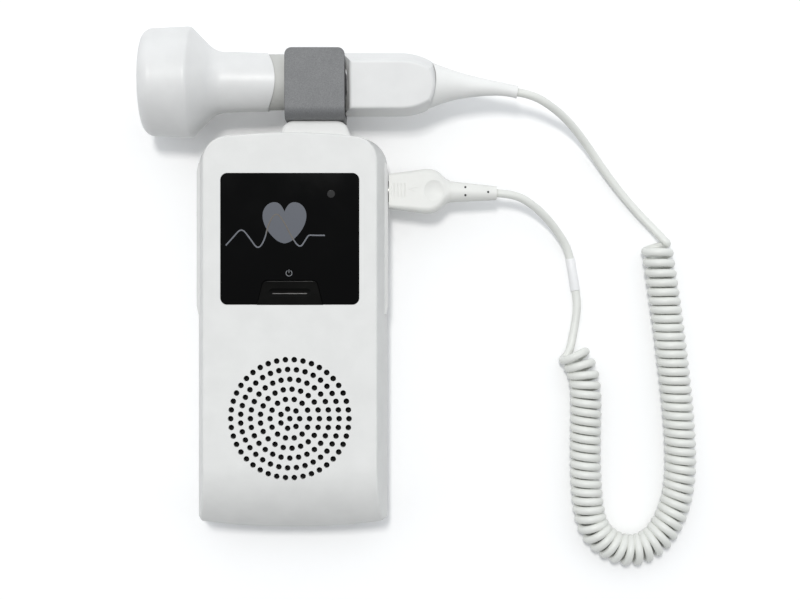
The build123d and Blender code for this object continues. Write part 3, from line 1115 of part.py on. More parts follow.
# ---------------------------------------------------------------- cord
CURL_POINTS = [(146.7, 34.2), (147.7, 27.2), (149.0, 19.0), (150.3, 10.2), (151.7, 0.0), (153.1, -11.6),
               (154.4, -22.8), (155.5, -33.2), (156.2, -43.7), (156.5, -54.5), (156.0, -61.8), (154.8, -68.5), (152.4, -76.0),
               (148.1, -83.4), (142.6, -88.0), (135.2, -89.8), (127.1, -86.8), (121.0, -80.7), (118.7, -70.9),
               (117.8, -56.8), (117.9, -41.5), (118.1, -29.5), (117.8, -22.2), (116.7, -16.4), (114.4, -11.7),
               (112.6, -9.3)]
CURL = [(x, y, CURL_Z) for x, y in CURL_POINTS]
PROBE_LEAD = [(BOOT_TIP_X, BOOT_TIP_Y, PROBE_Z), (95.0, 93.37, 22.0), (102.6, 89.5, 18.6), (110.4, 84.2, 11.8),
              (118.0, 76.0, 5.8), (125.6, 65.3, 2.6), (133.2, 55.3, 1.85), (140.6, 46.8, 2.1), (146.6, 40.5, 3.6),
              (150.3, 36.3, 5.2), (151.5, 33.5, 6.2)]
TAIL_LEAD = [(109.7, -13.2, 6.2), (111.4, -9.4, 3.4), (112.8, -5.0, 2.1), (113.8, 0.3, 1.8), (114.8, 6.0, 1.75),
             (115.15, 11.6, 1.8), (114.4, 16.1, 1.85)]
SLEEVE = [TAIL_LEAD[-1], (112.1, 29.6, 1.95)]
PLUG_LEAD = [(112.3, 28.4, 1.95), (111.2, 33.2, 2.0), (107.5, 39.0, 4.1), (102.3, 45.2, 7.8), (95.6, 50.9, 12.2),
             (88.2, 54.6, CONTROL_Z), (PLUG_TAIL_X, PLUG_TAIL_Y, CONTROL_Z)]


def cord_tube(name, points, r):
    """A round tube along straight runs joined by tangent arcs as large as the runs allow."""
    spots = [Vector(*p) for p in points]
    if len(spots) == 2:
        path = Line(*spots)
    else:
        radii = []
        for before, here, after in zip(spots, spots[1:], spots[2:]):
            turn = radians((here - before).get_angle(after - here))
            radii.append(0.45 * min((here - before).length, (after - here).length) / tan(turn / 2))
        print(name, "radii", [round(radius, 1) for radius in radii])
        path = FilletPolyline(*spots, radius=radii)
    tube = sweep(Plane(origin=path @ 0, z_dir=path % 0) * Circle(r), path=path)
    print(name, "length", round(path.length, 1), "volume share", round(tube.volume / (pi * r * r * path.length), 4))
    return tube


def lead_to_curl(name, points):
    """A lead that is trimmed to the curl's end face."""
    return cord_tube(name, points, CORD_R) - cord_tube("cord_curl", CURL, CURL_R)


def trimmed(tube, low, high):
    """The stretch of a tube between two planes across Y."""
    return tube & block(0, 2 * UNIT_LENGTH, low, high, -UNIT_DEPTH, 2 * UNIT_DEPTH)


def make_cord_sleeve():
    """The marker sleeve; its end is square to Y, so that the plug's lead slides off it sideways."""
    return trimmed(cord_tube("cord_sleeve", SLEEVE, SLEEVE_R), 0, SLEEVE_END_Y)


def make_cord_plug_lead():
    return trimmed(cord_tube("cord_plug_lead", PLUG_LEAD, CORD_R), SLEEVE_END_Y, UNIT_LENGTH)


# ---------------------------------------------------------------- build
PARTS = {
    "front_cover": make_front_cover,
    "rear_cover": make_rear_cover,
    "case_screws": make_case_screws,
    "side_trim_left": make_left_trim,
    "side_trim_right": make_right_trim,
    "display_panel": make_display_panel,
    "power_key": make_power_key,
    "power_switch": make_power_switch,
    "key_dome": make_key_dome,
    "indicator_lens": make_indicator_lens,
    "indicator_led": make_indicator_led,
    "main_board": make_main_board,
    "board_parts": make_board_parts,
    "board_screws": make_board_screws,
    "grille_cloth": make_grille_cloth,
    "speaker_frame": make_speaker_frame,
    "speaker_magnet": make_speaker_magnet,
    "speaker_cone": make_speaker_cone,
    "speaker_retainer": make_speaker_retainer,
    "retainer_screws": make_retainer_screws,
    "volume_wheel": make_volume_wheel,
    "volume_control": make_volume_control,
    "headphone_jack": make_headphone_jack,
    "probe_socket": make_probe_socket,
    "socket_pins": make_socket_pins,
    "battery_cell_1": lambda: make_cell(-1),
    "battery_cell_2": lambda: make_cell(1),
    "battery_plates": make_battery_plates,
    "battery_springs": make_battery_springs,
    "battery_door": make_battery_door,
    "probe_clip": make_probe_clip,
    "probe_face": make_probe_face,
    "probe_head": make_probe_head,
    "grip_band": make_grip_band,
    "probe_handle": make_probe_handle,
    "probe_boot": make_probe_boot,
    "seal_ring": make_seal_ring,
    "probe_crystals": make_probe_crystals,
    "crystal_backing": make_crystal_backing,
    "probe_board": make_probe_board,
    "probe_board_parts": make_probe_board_parts,
    "cable_clamp": make_cable_clamp,
    "plug_body": make_plug_body,
    "plug_shell": make_plug_shell,
    "plug_insert": make_plug_insert,
    "cord_probe_lead": lambda: lead_to_curl("cord_probe_lead", PROBE_LEAD),
    "cord_curl": lambda: cord_tube("cord_curl", CURL, CURL_R),
    "cord_tail_lead": lambda: lead_to_curl("cord_tail_lead", TAIL_LEAD),
    "cord_sleeve": make_cord_sleeve,
    "cord_plug_lead": make_cord_plug_lead,
}

os.makedirs("parts", exist_ok=True)
for name, make in PARTS.items():
    shape = make()
    export_step(shape, f"parts/{name}.step")
    print(name, len(shape.solids()), round(shape.volume, 1))
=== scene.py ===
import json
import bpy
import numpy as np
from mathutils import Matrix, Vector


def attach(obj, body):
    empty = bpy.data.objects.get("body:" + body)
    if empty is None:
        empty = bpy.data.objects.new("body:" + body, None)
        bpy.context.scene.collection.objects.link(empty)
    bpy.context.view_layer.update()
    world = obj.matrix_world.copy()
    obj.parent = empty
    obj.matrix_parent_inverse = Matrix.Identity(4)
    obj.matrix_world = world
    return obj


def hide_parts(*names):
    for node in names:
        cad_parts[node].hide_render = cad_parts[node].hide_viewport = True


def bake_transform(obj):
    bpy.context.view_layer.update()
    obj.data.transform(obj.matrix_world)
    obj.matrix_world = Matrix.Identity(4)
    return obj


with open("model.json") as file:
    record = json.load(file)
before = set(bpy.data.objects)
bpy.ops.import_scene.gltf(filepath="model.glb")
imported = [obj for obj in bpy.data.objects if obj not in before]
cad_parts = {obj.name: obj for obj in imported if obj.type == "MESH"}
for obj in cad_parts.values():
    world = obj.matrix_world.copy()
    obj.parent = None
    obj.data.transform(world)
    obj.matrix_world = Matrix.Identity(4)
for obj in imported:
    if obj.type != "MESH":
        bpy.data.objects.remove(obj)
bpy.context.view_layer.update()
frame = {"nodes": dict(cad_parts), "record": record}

# %% [markdown]
# # A fetal doppler with its probe and curly cord
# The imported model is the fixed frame: every casing, key and clip is already in its place, in metres. This
# script gives each of them its finish, and adds the things that are easier to make as surfaces here: the
# curly cord, its marker sleeve, and the print on the panel and the plug.

MM = 0.001

# %% [markdown]
# ## Shader maths as expressions
# A finish is a sum of masks and noises. Written node by node that gets long, so one small class wraps an
# output socket: adding, subtracting or multiplying two of them adds the Math node that does it.


# %% Sockets with arithmetic
class Wire:
    """An output socket of a recipe, with arithmetic."""

    def __init__(self, recipe, socket):
        self.recipe = recipe
        self.socket = socket

    def out(self, name):
        """Another output of the same node."""
        return Wire(self.recipe, self.socket.node.outputs[name])

    def maths(self, operation, *others):
        """A Math node on this value and the others."""
        return self.recipe.node("Math", {"operation": operation}, self, *others)

    def __add__(self, other):
        return self.maths("ADD", other)

    def __sub__(self, other):
        return self.maths("SUBTRACT", other)

    def __rsub__(self, other):
        return self.recipe.node("Math", {"operation": "SUBTRACT"}, other, self)

    def __mul__(self, other):
        return self.maths("MULTIPLY", other)

    __radd__ = __add__
    __rmul__ = __mul__

    def above(self, edge, soft):
        """A mask that rises from 0 to 1 as the value passes the edge, over a soft width."""
        steps = {"interpolation_type": "SMOOTHSTEP"}
        return self.recipe.node("MapRange", steps, self, edge - soft, edge + soft, 0.0, 1.0)


class Recipe:
    """One material, with a single method that adds any node."""

    def __init__(self, name):
        self.material = bpy.data.materials.new(name)
        self.material.use_nodes = True
        self.tree = self.material.node_tree
        self.tree.nodes.clear()
        self.shader = self.tree.nodes.new("ShaderNodeBsdfPrincipled")
        output = self.tree.nodes.new("ShaderNodeOutputMaterial")
        self.tree.links.new(self.shader.outputs[0], output.inputs["Surface"])
        self.place = self.node("TexCoord").out("Object")

    def fill(self, socket, value):
        """Links a wire to a socket, or sets the socket to a plain value."""
        if isinstance(value, Wire):
            self.tree.links.new(value.socket, socket)
        else:
            socket.default_value = value

    def node(self, kind, settings=None, *inputs, **named):
        """Adds a shader node, sets its settings first, then fills its inputs in order or by name."""
        made = self.tree.nodes.new("ShaderNode" + kind)
        for key, value in (settings or {}).items():
            setattr(made, key, value)
        filled = list(zip(made.inputs, inputs)) + [(made.inputs[key], value) for key, value in named.items()]
        for socket, value in filled:
            self.fill(socket, value)
        return Wire(self, made.outputs[0])

    def noise(self, size, detail=2.0, stretch=(1, 1, 1)):
        """A soft noise whose blobs are about as large as size, in metres, around 0.5."""
        spot = self.node("Mapping", None, self.place, Scale=stretch)
        return self.node("TexNoise", None, Vector=spot, Scale=1 / size, Detail=detail).out("Fac")

    def mix(self, factor, first, second):
        """A colour between two colours."""
        made = self.tree.nodes.new("ShaderNodeMix")
        made.data_type = "RGBA"
        for place, value in ((0, factor), (6, first), (7, second)):
            self.fill(made.inputs[place], value)
        return Wire(self, made.outputs[2])

    def feed(self, socket, value):
        """Sets or links one socket of the main shader."""
        self.fill(self.shader.inputs[socket], value)

    def bump(self, height, depth, strength=1.0):
        """Turns a height of 0 to 1 into relief that is depth metres deep."""
        self.feed("Normal", self.node("Bump", None, Strength=strength, Distance=depth, Height=height))


def tone(red, green, blue, lighter=0.0):
    """A colour as it looks on a screen, 0 to 255, as the linear numbers that a shader takes."""
    seen = np.clip(np.array([red, green, blue]) + lighter, 1, 255) / 255
    return tuple(((seen + 0.055) / 1.055) ** 2.4) + (1.0,)


# %% [markdown]
# ## Camera, floor and light
# The camera looks straight down from a little over half a metre. A small strong soft box stands beyond the
# clip end, and a long faint one beyond the speaker end, so shadows stay soft and fall towards the speaker.
# The sky is brighter at the clip end and darker straight overhead: the flat black panel mirrors only that
# darker patch, while the round edges still catch the boxes. The floor is paper white for the camera alone, so
# the lamps stay at a plain level and the pale casing keeps its tone against it.

# %% The camera
CAMERA_AT = (42.7 * MM, 12.2 * MM, 620 * MM)
FOCAL_PIXELS = 1512.8
FRAME_PIXELS = 800
SENSOR = 36.0

camera_data = bpy.data.cameras.new("camera")
camera_data.sensor_width = SENSOR
camera_data.lens = FOCAL_PIXELS * SENSOR / FRAME_PIXELS
camera_data.clip_start = 0.01
camera = bpy.data.objects.new("camera", camera_data)
camera.location = CAMERA_AT
bpy.context.scene.collection.objects.link(camera)
bpy.context.scene.camera = camera
bpy.context.scene.view_settings.view_transform = "Standard"
print("camera: lens", round(camera_data.lens, 2))

# %% The floor
FLOOR_REACH = 4.0
FLOOR_LIT = 0.75           # how much light the paper throws back at the object
FLOOR_GLOW = 0.05          # light that only the camera sees, so that the paper is white between the shadows


def floor_sheet():
    """A flat sheet on the ground plane; its corners lie at plus and minus the reach. Camera and mirror rays
    see white paper with a little glow, and every other ray sees the plain paper that lights the object."""
    r = FLOOR_REACH
    mesh = bpy.data.meshes.new("floor")
    mesh.from_pydata([(-r, -r, 0), (r, -r, 0), (r, r, 0), (-r, r, 0)], [], [(0, 1, 2, 3)])
    made = bpy.data.objects.new("floor", mesh)
    bpy.context.scene.collection.objects.link(made)
    recipe = Recipe("floor_paper")
    rays = recipe.node("LightPath")
    seen = rays.out("Is Camera Ray").maths("MAXIMUM", rays.out("Is Glossy Ray"))
    lit, white = (FLOOR_LIT, FLOOR_LIT, FLOOR_LIT, 1), (1, 1, 1, 1)
    recipe.feed("Base Color", recipe.mix(seen, lit, white))
    recipe.feed("Emission Color", recipe.mix(seen, (0, 0, 0, 1), (FLOOR_GLOW, FLOOR_GLOW, FLOOR_GLOW, 1)))
    recipe.feed("Emission Strength", 1.0)
    recipe.feed("Roughness", 0.9)
    recipe.feed("Specular IOR Level", 0.0)
    made.data.materials.append(recipe.material)


floor_sheet()

# %% The sky
SKY_FAR = 0.92             # level towards the clip end
SKY_NEAR = 0.30            # level towards the speaker end
SKY_RISE = (-0.55, 0.1)    # a ray's Y where the level starts and stops rising
OVERHEAD = 0.50            # share of the level that is left straight overhead
DARK_PATCH = (0.90, 0.99)  # a ray's Z where the overhead patch starts and is full
SKY_TINT = (0.93, 0.965, 1.0)


def studio_sky():
    """The level rises smoothly from the near to the far end with a ray's Y, and is multiplied by a share that
    falls with its Z from one, about 25 degrees from straight up, to the overhead share."""
    world = bpy.data.worlds.new("studio")
    world.use_nodes = True
    nodes, links = world.node_tree.nodes, world.node_tree.links
    ray = nodes.new("ShaderNodeTexCoord")
    split = nodes.new("ShaderNodeSeparateXYZ")
    links.new(ray.outputs["Generated"], split.inputs[0])
    ramps = []
    for axis, stops in (("Z", (*DARK_PATCH, 1.0, OVERHEAD)), ("Y", (*SKY_RISE, SKY_NEAR, SKY_FAR))):
        ramp = nodes.new("ShaderNodeMapRange")
        ramp.interpolation_type = "SMOOTHSTEP"
        for socket, value in zip(ramp.inputs[1:5], stops):
            socket.default_value = value
        links.new(split.outputs[axis], ramp.inputs["Value"])
        ramps.append(ramp)
    level = nodes.new("ShaderNodeMath")
    level.operation = "MULTIPLY"
    for ramp, socket in zip(ramps, level.inputs):
        links.new(ramp.outputs[0], socket)
    links.new(level.outputs[0], nodes["Background"].inputs["Strength"])
    nodes["Background"].inputs["Color"].default_value = SKY_TINT + (1.0,)
    bpy.context.scene.world = world


studio_sky()


# %% The soft boxes
AIM = (0.04, 0.01, 0.0)
FAR_AT, FAR_SIZE, FAR_POWER = (-0.10, 0.50, 2.0), (0.2, 0.3), 16.0
NEAR_AT, NEAR_SIZE, NEAR_POWER = (0.04, -0.38, 2.0), (1.2, 0.26), 1.0
WARM = (1.0, 0.985, 0.965)


def soft_box(name, place, size, power):
    """A warm soft box at a place, turned towards the object. Its size is first along X, then across."""
    data = bpy.data.lights.new(name, "AREA")
    data.shape = "RECTANGLE"
    data.size, data.size_y = size
    data.energy = power
    data.color = WARM
    made = bpy.data.objects.new(name, data)
    made.location = place
    made.rotation_euler = (Vector(AIM) - Vector(place)).to_track_quat("-Z", "Y").to_euler()
    bpy.context.scene.collection.objects.link(made)


soft_box("far_box", FAR_AT, FAR_SIZE, FAR_POWER)
soft_box("near_box", NEAR_AT, NEAR_SIZE, NEAR_POWER)
print("light: sky", SKY_NEAR, "to", SKY_FAR, "boxes", FAR_POWER, "and", NEAR_POWER, "W")

# %% [markdown]
# ## Surfaces from whole arrays
# Each new piece is a grid of points worked out with numpy: rows along the piece, columns round it. One
# function turns such a grid into a closed mesh, with the faces pointing outwards.


# %% From a grid of points to a mesh
def surface(name, grid, material, body=None, ring=False):
    """A closed mesh from a grid of points (rows, columns, 3). The last column joins the first. With ring, the
    last row joins the first as well; without, each end row is closed with a fan to its middle point. The
    faces are turned outwards by the sign of the enclosed volume, the sum of a.(b x c) over the triangles."""
    grid = np.asarray(grid, float)
    rows, columns = grid.shape[:2]
    points = grid.reshape(-1, 3)
    r, c = np.meshgrid(np.arange(rows if ring else rows - 1), np.arange(columns), indexing="ij")
    on, nxt = (r + 1) % rows, (c + 1) % columns
    quads = np.stack([r * columns + c, r * columns + nxt, on * columns + nxt, on * columns + c], -1)
    faces = quads.reshape(-1, 4).tolist()
    if not ring:
        low, high = len(points), len(points) + 1
        points = np.vstack([points, grid[0].mean(0), grid[-1].mean(0)])
        k = np.arange(columns)
        top = (rows - 1) * columns
        faces += np.stack([(k + 1) % columns, k, np.full(columns, low)], -1).tolist()
        faces += np.stack([top + k, top + (k + 1) % columns, np.full(columns, high)], -1).tolist()
    mesh = bpy.data.meshes.new(name)
    mesh.from_pydata(points, [], faces)
    mesh.calc_loop_triangles()
    tri = np.empty(len(mesh.loop_triangles) * 3, int)
    mesh.loop_triangles.foreach_get("vertices", tri)
    a, b, c = points[tri.reshape(-1, 3)].transpose(1, 0, 2)
    if np.einsum("ij,ij->i", a, np.cross(b, c)).sum() < 0:
        mesh.flip_normals()
    mesh.polygons.foreach_set("use_smooth", np.full(len(mesh.polygons), True))
    mesh.update()
    made = bpy.data.objects.new(name, mesh)
    bpy.context.scene.collection.objects.link(made)
    mesh.materials.append(material)
    if body:
        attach(made, body)
    return made


def unit(vectors):
    """Each vector divided by its own length."""
    return vectors / np.linalg.norm(vectors, axis=-1, keepdims=True)


def tube_grid(path, radius, outward, sides, flat=1.0):
    """Each point of the path gets a ring in the plane across the path. The ring starts at the outward
    direction made square to the path; its other axis is their cross product, scaled by flat."""
    along = unit(np.gradient(path, axis=0))
    first = unit(outward - (outward * along).sum(1, keepdims=True) * along)
    second = np.cross(along, first) * flat
    turn = np.linspace(0, 2 * np.pi, sides, endpoint=False)
    ring = np.cos(turn)[None, :, None] * first[:, None] + np.sin(turn)[None, :, None] * second[:, None]
    return path[:, None] + radius * ring


# %% [markdown]
# ## The cord
# The cord is one left-handed curl between two straight leads, laid in a long hairpin beside the unit. Its
# routes are listed control points of smooth splines. The wire of the curl turns round the axis spline at
# a steady rate, a little slower near both ends, where the curl has been pulled open. A short bend carries
# each lead into its first turn: the lead rises to the outer rim of the hairpin and dives under the curl.

# %% The routes, in millimetres
CORD_R = 1.65
CURL_Z = 6.55
WIRE_R = 4.85              # from the curl's axis to the middle of the wire
CURL_POINTS = [(146.7, 34.2), (147.7, 27.2), (149.0, 19.0), (150.3, 10.2), (151.7, 0.0), (153.1, -11.6),
               (154.4, -22.8), (155.5, -33.2), (156.2, -43.7), (156.5, -54.5), (156.0, -61.8), (154.8, -68.5),
               (152.4, -76.0), (148.1, -83.4), (142.6, -88.0), (135.2, -89.8), (127.1, -86.8), (121.0, -80.7),
               (118.7, -70.9), (117.8, -56.8), (117.9, -41.5), (118.1, -29.5), (117.8, -22.2), (116.7, -16.4),
               (114.4, -11.7), (112.6, -9.3)]
PROBE_LEAD = [(89.1, 94.3, 22.0), (95.0, 93.37, 22.0), (102.6, 89.5, 18.6), (110.4, 84.2, 11.8),
              (118.0, 76.0, 5.8), (125.6, 65.3, 2.6), (133.2, 55.3, 1.85), (140.6, 46.8, 2.1),
              (146.6, 40.5, 3.6), (150.3, 36.3, 5.2), (151.5, 33.5, 6.2)]
TAIL_LEAD = [(109.7, -13.2, 6.2), (111.4, -9.4, 3.4), (112.8, -5.0, 2.1), (113.8, 0.3, 1.8),
             (114.8, 6.0, 1.75), (115.15, 11.6, 1.8), (114.4, 16.1, 1.85)]
SLEEVE = [(114.4, 16.1, 1.85), (112.2, 29.0, 1.95)]
PLUG_LEAD = [(112.3, 28.4, 1.95), (111.2, 33.2, 2.0), (107.5, 39.0, 4.1), (102.3, 45.2, 7.8),
             (95.6, 50.9, 12.2), (88.2, 54.6, 15.0), (81.3, 54.9, 15.0)]


# %% Paths from splines
SPLINE_STEPS = 24
ROUNDS = 3                 # how often a path's small corners are averaged


def spline(points):
    """The line of a smooth spline with these control points, as an array of points in metres."""
    curve = bpy.data.curves.new("route", "CURVE")
    curve.dimensions = "3D"
    curve.resolution_u = SPLINE_STEPS
    line = curve.splines.new("NURBS")
    line.points.add(len(points) - 1)
    spots = np.array(points, float) * MM
    line.points.foreach_set("co", np.hstack([spots, np.ones((len(spots), 1))]).ravel())
    line.order_u = 3
    line.use_endpoint_u = True
    holder = bpy.data.objects.new("route", curve)
    bpy.context.scene.collection.objects.link(holder)
    mesh = bpy.data.meshes.new_from_object(holder)
    found = np.empty(len(mesh.vertices) * 3)
    mesh.vertices.foreach_get("co", found)
    bpy.data.objects.remove(holder)
    bpy.data.meshes.remove(mesh)
    bpy.data.curves.remove(curve)
    return found.reshape(-1, 3)


def travelled(path):
    """The distance along the path at each of its points."""
    return np.concatenate([[0], np.cumsum(np.linalg.norm(np.diff(path, axis=0), axis=1))])


def read_at(places, known, vectors):
    """Vectors that are known at some distances, read off at other places between them."""
    return np.stack([np.interp(places, known, vectors[:, k]) for k in range(3)], 1)


def smooth_steps(path, step):
    """The path cut into equal steps of about the given size, its small corners rounded by averaging."""
    along = travelled(path)
    even = read_at(np.linspace(0, along[-1], int(along[-1] / step) + 1), along, path)
    for _ in range(ROUNDS):
        even[1:-1] = (even[:-2] + 2 * even[1:-1] + even[2:]) / 4
    return even


# %% The wire of the curl
STEP = 0.7 * MM
TURNS = 61
POINTS_PER_TURN = 40
RIM = np.pi                # the side of the axis that faces out of the hairpin
START_LEAN = 0.7           # how far past the rim the wire is at the curl's first point, in radians
END_LEAN = 0.3
OPEN_SHARE = 0.22          # how much longer the pitch is near the ends
OPEN_REACH = 26 * MM


def curl_wire():
    """The wire's angle round the axis grows by 2 pi ds / pitch(s). The pitch is a base value times one plus
    the open share, which fades with a smooth step over the reach from each end. The base value is the one
    that gives the wanted number of turns. Point = axis + radius (cos(angle) side + sin(angle) up)."""
    axis = smooth_steps(spline([(x, y, CURL_Z) for x, y in CURL_POINTS]), STEP)
    along = travelled(axis)
    s = np.linspace(0, along[-1], POINTS_PER_TURN * TURNS)
    near = np.clip(1 - np.minimum(s, along[-1] - s) / OPEN_REACH, 0, 1)
    rate = 1 / (1 + OPEN_SHARE * near * near * (3 - 2 * near))
    grown = np.concatenate([[0], np.cumsum((rate[1:] + rate[:-1]) / 2)])
    turn = RIM + START_LEAN + grown / grown[-1] * (2 * np.pi * TURNS + END_LEAN - START_LEAN)
    ahead = unit(read_at(s, along, unit(np.gradient(axis, axis=0))))
    up = np.array([0, 0, 1.0])
    side = np.cross(ahead, up)
    outward = np.cos(turn)[:, None] * side + np.sin(turn)[:, None] * up
    print("curl: axis", round(along[-1], 3), "m, mean pitch", round(1000 * along[-1] / TURNS, 2), "mm")
    return read_at(s, along, axis) + WIRE_R * MM * outward, outward


# %% The leads and their bends
FLOOR_CLEAR = 1.7 * MM
LEAD_CUT = 4.2 * MM        # how much of each lead gives way to its bend
TAIL_CUT = 5.0 * MM
SWING = 10 * MM
BEND_POINTS = 24


def lead(points, start_cut=0.0, end_cut=0.0):
    """A straight stretch of the cord without the lengths cut from its ends: its path, and the sideways
    direction that its rings start from."""
    path = smooth_steps(spline(points), STEP)
    ahead = unit(np.gradient(path, axis=0))
    along = travelled(path)
    kept = (along >= start_cut) & (along <= along[-1] - end_cut)
    return path[kept], -unit(np.cross(ahead, [0, 0, 1.0]))[kept]


def bend(before, after, before_out, after_out):
    """From the end of one path to the start of the next, leaving and arriving along their own directions: a
    cubic through both ends whose end slopes have the length of the swing. The rings' direction goes evenly
    from one to the other."""
    t = np.linspace(0, 1, BEND_POINTS)[1:-1, None]
    leaving, arriving = SWING * unit(before[-1] - before[-2]), SWING * unit(after[1] - after[0])
    path = ((2 * t ** 3 - 3 * t ** 2 + 1) * before[-1] + (t ** 3 - 2 * t ** 2 + t) * leaving
            + (3 * t ** 2 - 2 * t ** 3) * after[0] + (t ** 3 - t ** 2) * arriving)
    path[:, 2] = np.maximum(path[:, 2], FLOOR_CLEAR)
    return path, unit((1 - t) * before_out[-1] + t * after_out[0])


# %% One wire from the probe's tail to the marker sleeve
probe_path, probe_out = lead(PROBE_LEAD, end_cut=LEAD_CUT)
tail_path, tail_out = lead(TAIL_LEAD, start_cut=TAIL_CUT)
coil_path, coil_out = curl_wire()
first_bend, first_out = bend(probe_path, coil_path, probe_out, coil_out)
last_bend, last_out = bend(coil_path, tail_path, coil_out, tail_out)
rough_path = np.vstack([probe_path, first_bend, coil_path, last_bend, tail_path])
rough_out = np.vstack([probe_out, first_out, coil_out, last_out, tail_out])
whole_path = smooth_steps(rough_path, STEP)
along = np.linspace(0, travelled(rough_path)[-1], len(whole_path))
whole_out = unit(read_at(along, travelled(rough_path), rough_out))
curly_length = travelled(whole_path)[-1]
print("curly cord:", round(curly_length, 3), "m,", len(whole_path), "rings, lowest",
      round(1000 * whole_path[:, 2].min(), 2), "mm")

# %% The plug's end of the cord
plug_path, plug_out = lead(PLUG_LEAD)

# %% [markdown]
# ## Moulded plastic
# Most of the parts are moulded plastic or rubber. Close up, none of them is one flat colour: the tool's
# eroded skin gives a fine grain, the melt leaves faint clouds of tone, and handling polishes patches a
# little. One function makes all of these from a screen tone, a roughness, and the size and depth of the
# grain.


# %% One recipe for moulded surfaces
CLOUD_SIZE = 9 * MM
HANDLED_SIZE = 3.5 * MM


def moulded(name, colour, rough, grain=0.16, depth=0.012, cloud=2.0, specular=0.5):
    """Clouds move the tone by the cloud amount either way, a finer noise moves the roughness, and the grain
    is relief. The grain's size and depth are in millimetres."""
    recipe = Recipe(name)
    clouds = recipe.noise(CLOUD_SIZE, 3.0)
    handled = recipe.noise(HANDLED_SIZE, 4.0)
    skin = recipe.noise(grain * MM, 3.0)
    low, high = tone(*colour, -cloud), tone(*colour, cloud)
    recipe.feed("Base Color", recipe.mix(clouds.above(0.5, 0.22), low, high))
    recipe.feed("Roughness", rough - 0.05 + 0.1 * handled)
    recipe.feed("Specular IOR Level", specular)
    recipe.bump(skin, depth * MM, 0.6)
    return recipe.material


# %% [markdown]
# ## Metal
# The clip is sheet steel under a thin satin paint: a fine bright speckle on a mid grey, so only a small share
# of it is bare. Turned and pressed metal inside the unit is all bare, with streaks. Tone and roughness follow
# noise.


# %% One recipe for metal
BROAD_SIZE = 7 * MM
METAL_RELIEF = 0.01 * MM


def metal(name, colour, rough, grain, stretch=(1, 1, 1), swing=14, bare=1.0):
    """The tone swings either way with the grain, and the roughness swings against it. Bare is the metallic
    share, and the stretch draws the grain out into streaks."""
    recipe = Recipe(name)
    skin = recipe.noise(grain * MM, 4.0, stretch)
    broad = recipe.noise(BROAD_SIZE, 2.0, stretch)
    fleck = skin.above(0.5, 0.3)
    recipe.feed("Base Color", recipe.mix(fleck, tone(*colour, -swing), tone(*colour, swing)))
    recipe.feed("Roughness", rough + 0.12 * broad - 0.08 * fleck)
    recipe.feed("Metallic", bare)
    recipe.bump(skin, METAL_RELIEF, 0.6)
    return recipe.material


# %% [markdown]
# ## Finishes with a pattern of their own
# A polished panel, woven grille cloth, a circuit board and the cells' printed jackets each need one pattern
# more. They read Object coordinates, so the pattern sits still on the part.


# %% Polished black
HAZE_SIZE = 14 * MM
SWELL_SIZE = 5 * MM


def polished(name, level, rough, haze):
    """Smooth and dark, with little shine. Faint handling haze raises the roughness in soft patches, and a
    very slight swell keeps the reflections from being dead flat."""
    recipe = Recipe(name)
    patches = recipe.noise(HAZE_SIZE, 4.0)
    black = (level, level, level)
    recipe.feed("Base Color", recipe.mix(patches, tone(*black, -1), tone(*black, 1)))
    recipe.feed("Roughness", rough + haze * patches.above(0.55, 0.2))
    recipe.feed("Specular IOR Level", 0.1)
    recipe.bump(recipe.noise(SWELL_SIZE, 1.0), 0.004 * MM, 0.3)
    return recipe.material


# %% Woven cloth behind the grille
THREAD = 0.32 * MM


def woven(name, level, rough):
    """Threads over and under: the product of two sine waves, one along X and one along Y, whose sign says
    which thread is on top."""
    recipe = Recipe(name)
    split = recipe.node("SeparateXYZ", None, recipe.place)
    waves = [split.out(axis).maths("MULTIPLY", np.pi / THREAD).maths("SINE") for axis in ("X", "Y")]
    over = (waves[0] * waves[1]).above(0.0, 0.7)
    recipe.feed("Base Color", recipe.mix(over, tone(level, level, level, -8), tone(level, level, level, 8)))
    recipe.feed("Roughness", rough)
    recipe.bump(over, 0.12 * MM, 0.9)
    return recipe.material


# %% Circuit board
TRACK = 1.27 * MM
MASK_GREEN = (0.010, 0.085, 0.035, 1)
TRACK_GREEN = (0.030, 0.19, 0.075, 1)


def board_finish(name):
    """Green mask over copper tracks: straight lanes on a regular pitch, broken up by a coarse noise."""
    recipe = Recipe(name)
    split = recipe.node("SeparateXYZ", None, recipe.place)
    lanes = split.out("X").maths("MULTIPLY", 2 * np.pi / TRACK).maths("SINE").above(0.3, 0.2)
    copper = lanes * recipe.noise(8 * MM, 1.0, (1, 0.3, 1)).above(0.5, 0.02)
    recipe.feed("Base Color", recipe.mix(copper, MASK_GREEN, TRACK_GREEN))
    recipe.feed("Roughness", 0.34 + 0.1 * copper)
    recipe.bump(copper, 0.03 * MM, 0.8)
    return recipe.material


# %% Jackets of the cells
CELL_BAND_Y = -0.052
CELL_BAND_HALF = 5 * MM
BAND_SILVER = (0.55, 0.56, 0.58, 1)
FILM_BLUE = (0.015, 0.04, 0.13, 1)


def cell_finish(name):
    """A printed film: dark blue with one pale band round it, where the distance from the band's middle is
    small."""
    recipe = Recipe(name)
    split = recipe.node("SeparateXYZ", None, recipe.place)
    away = (split.out("Y") - CELL_BAND_Y).maths("ABSOLUTE")
    beyond = away.above(CELL_BAND_HALF, 0.2 * MM)
    recipe.feed("Base Color", recipe.mix(beyond, BAND_SILVER, FILM_BLUE))
    recipe.feed("Roughness", 0.22 + 0.1 * recipe.noise(4 * MM, 2.0))
    recipe.bump(recipe.noise(2 * MM, 2.0), 0.02 * MM, 0.4)
    return recipe.material


# %% [markdown]
# ## Every part gets its finish
# The record names a finish slot for each part. One table turns the slots into materials, and each packed
# part takes the one that its record asks for.

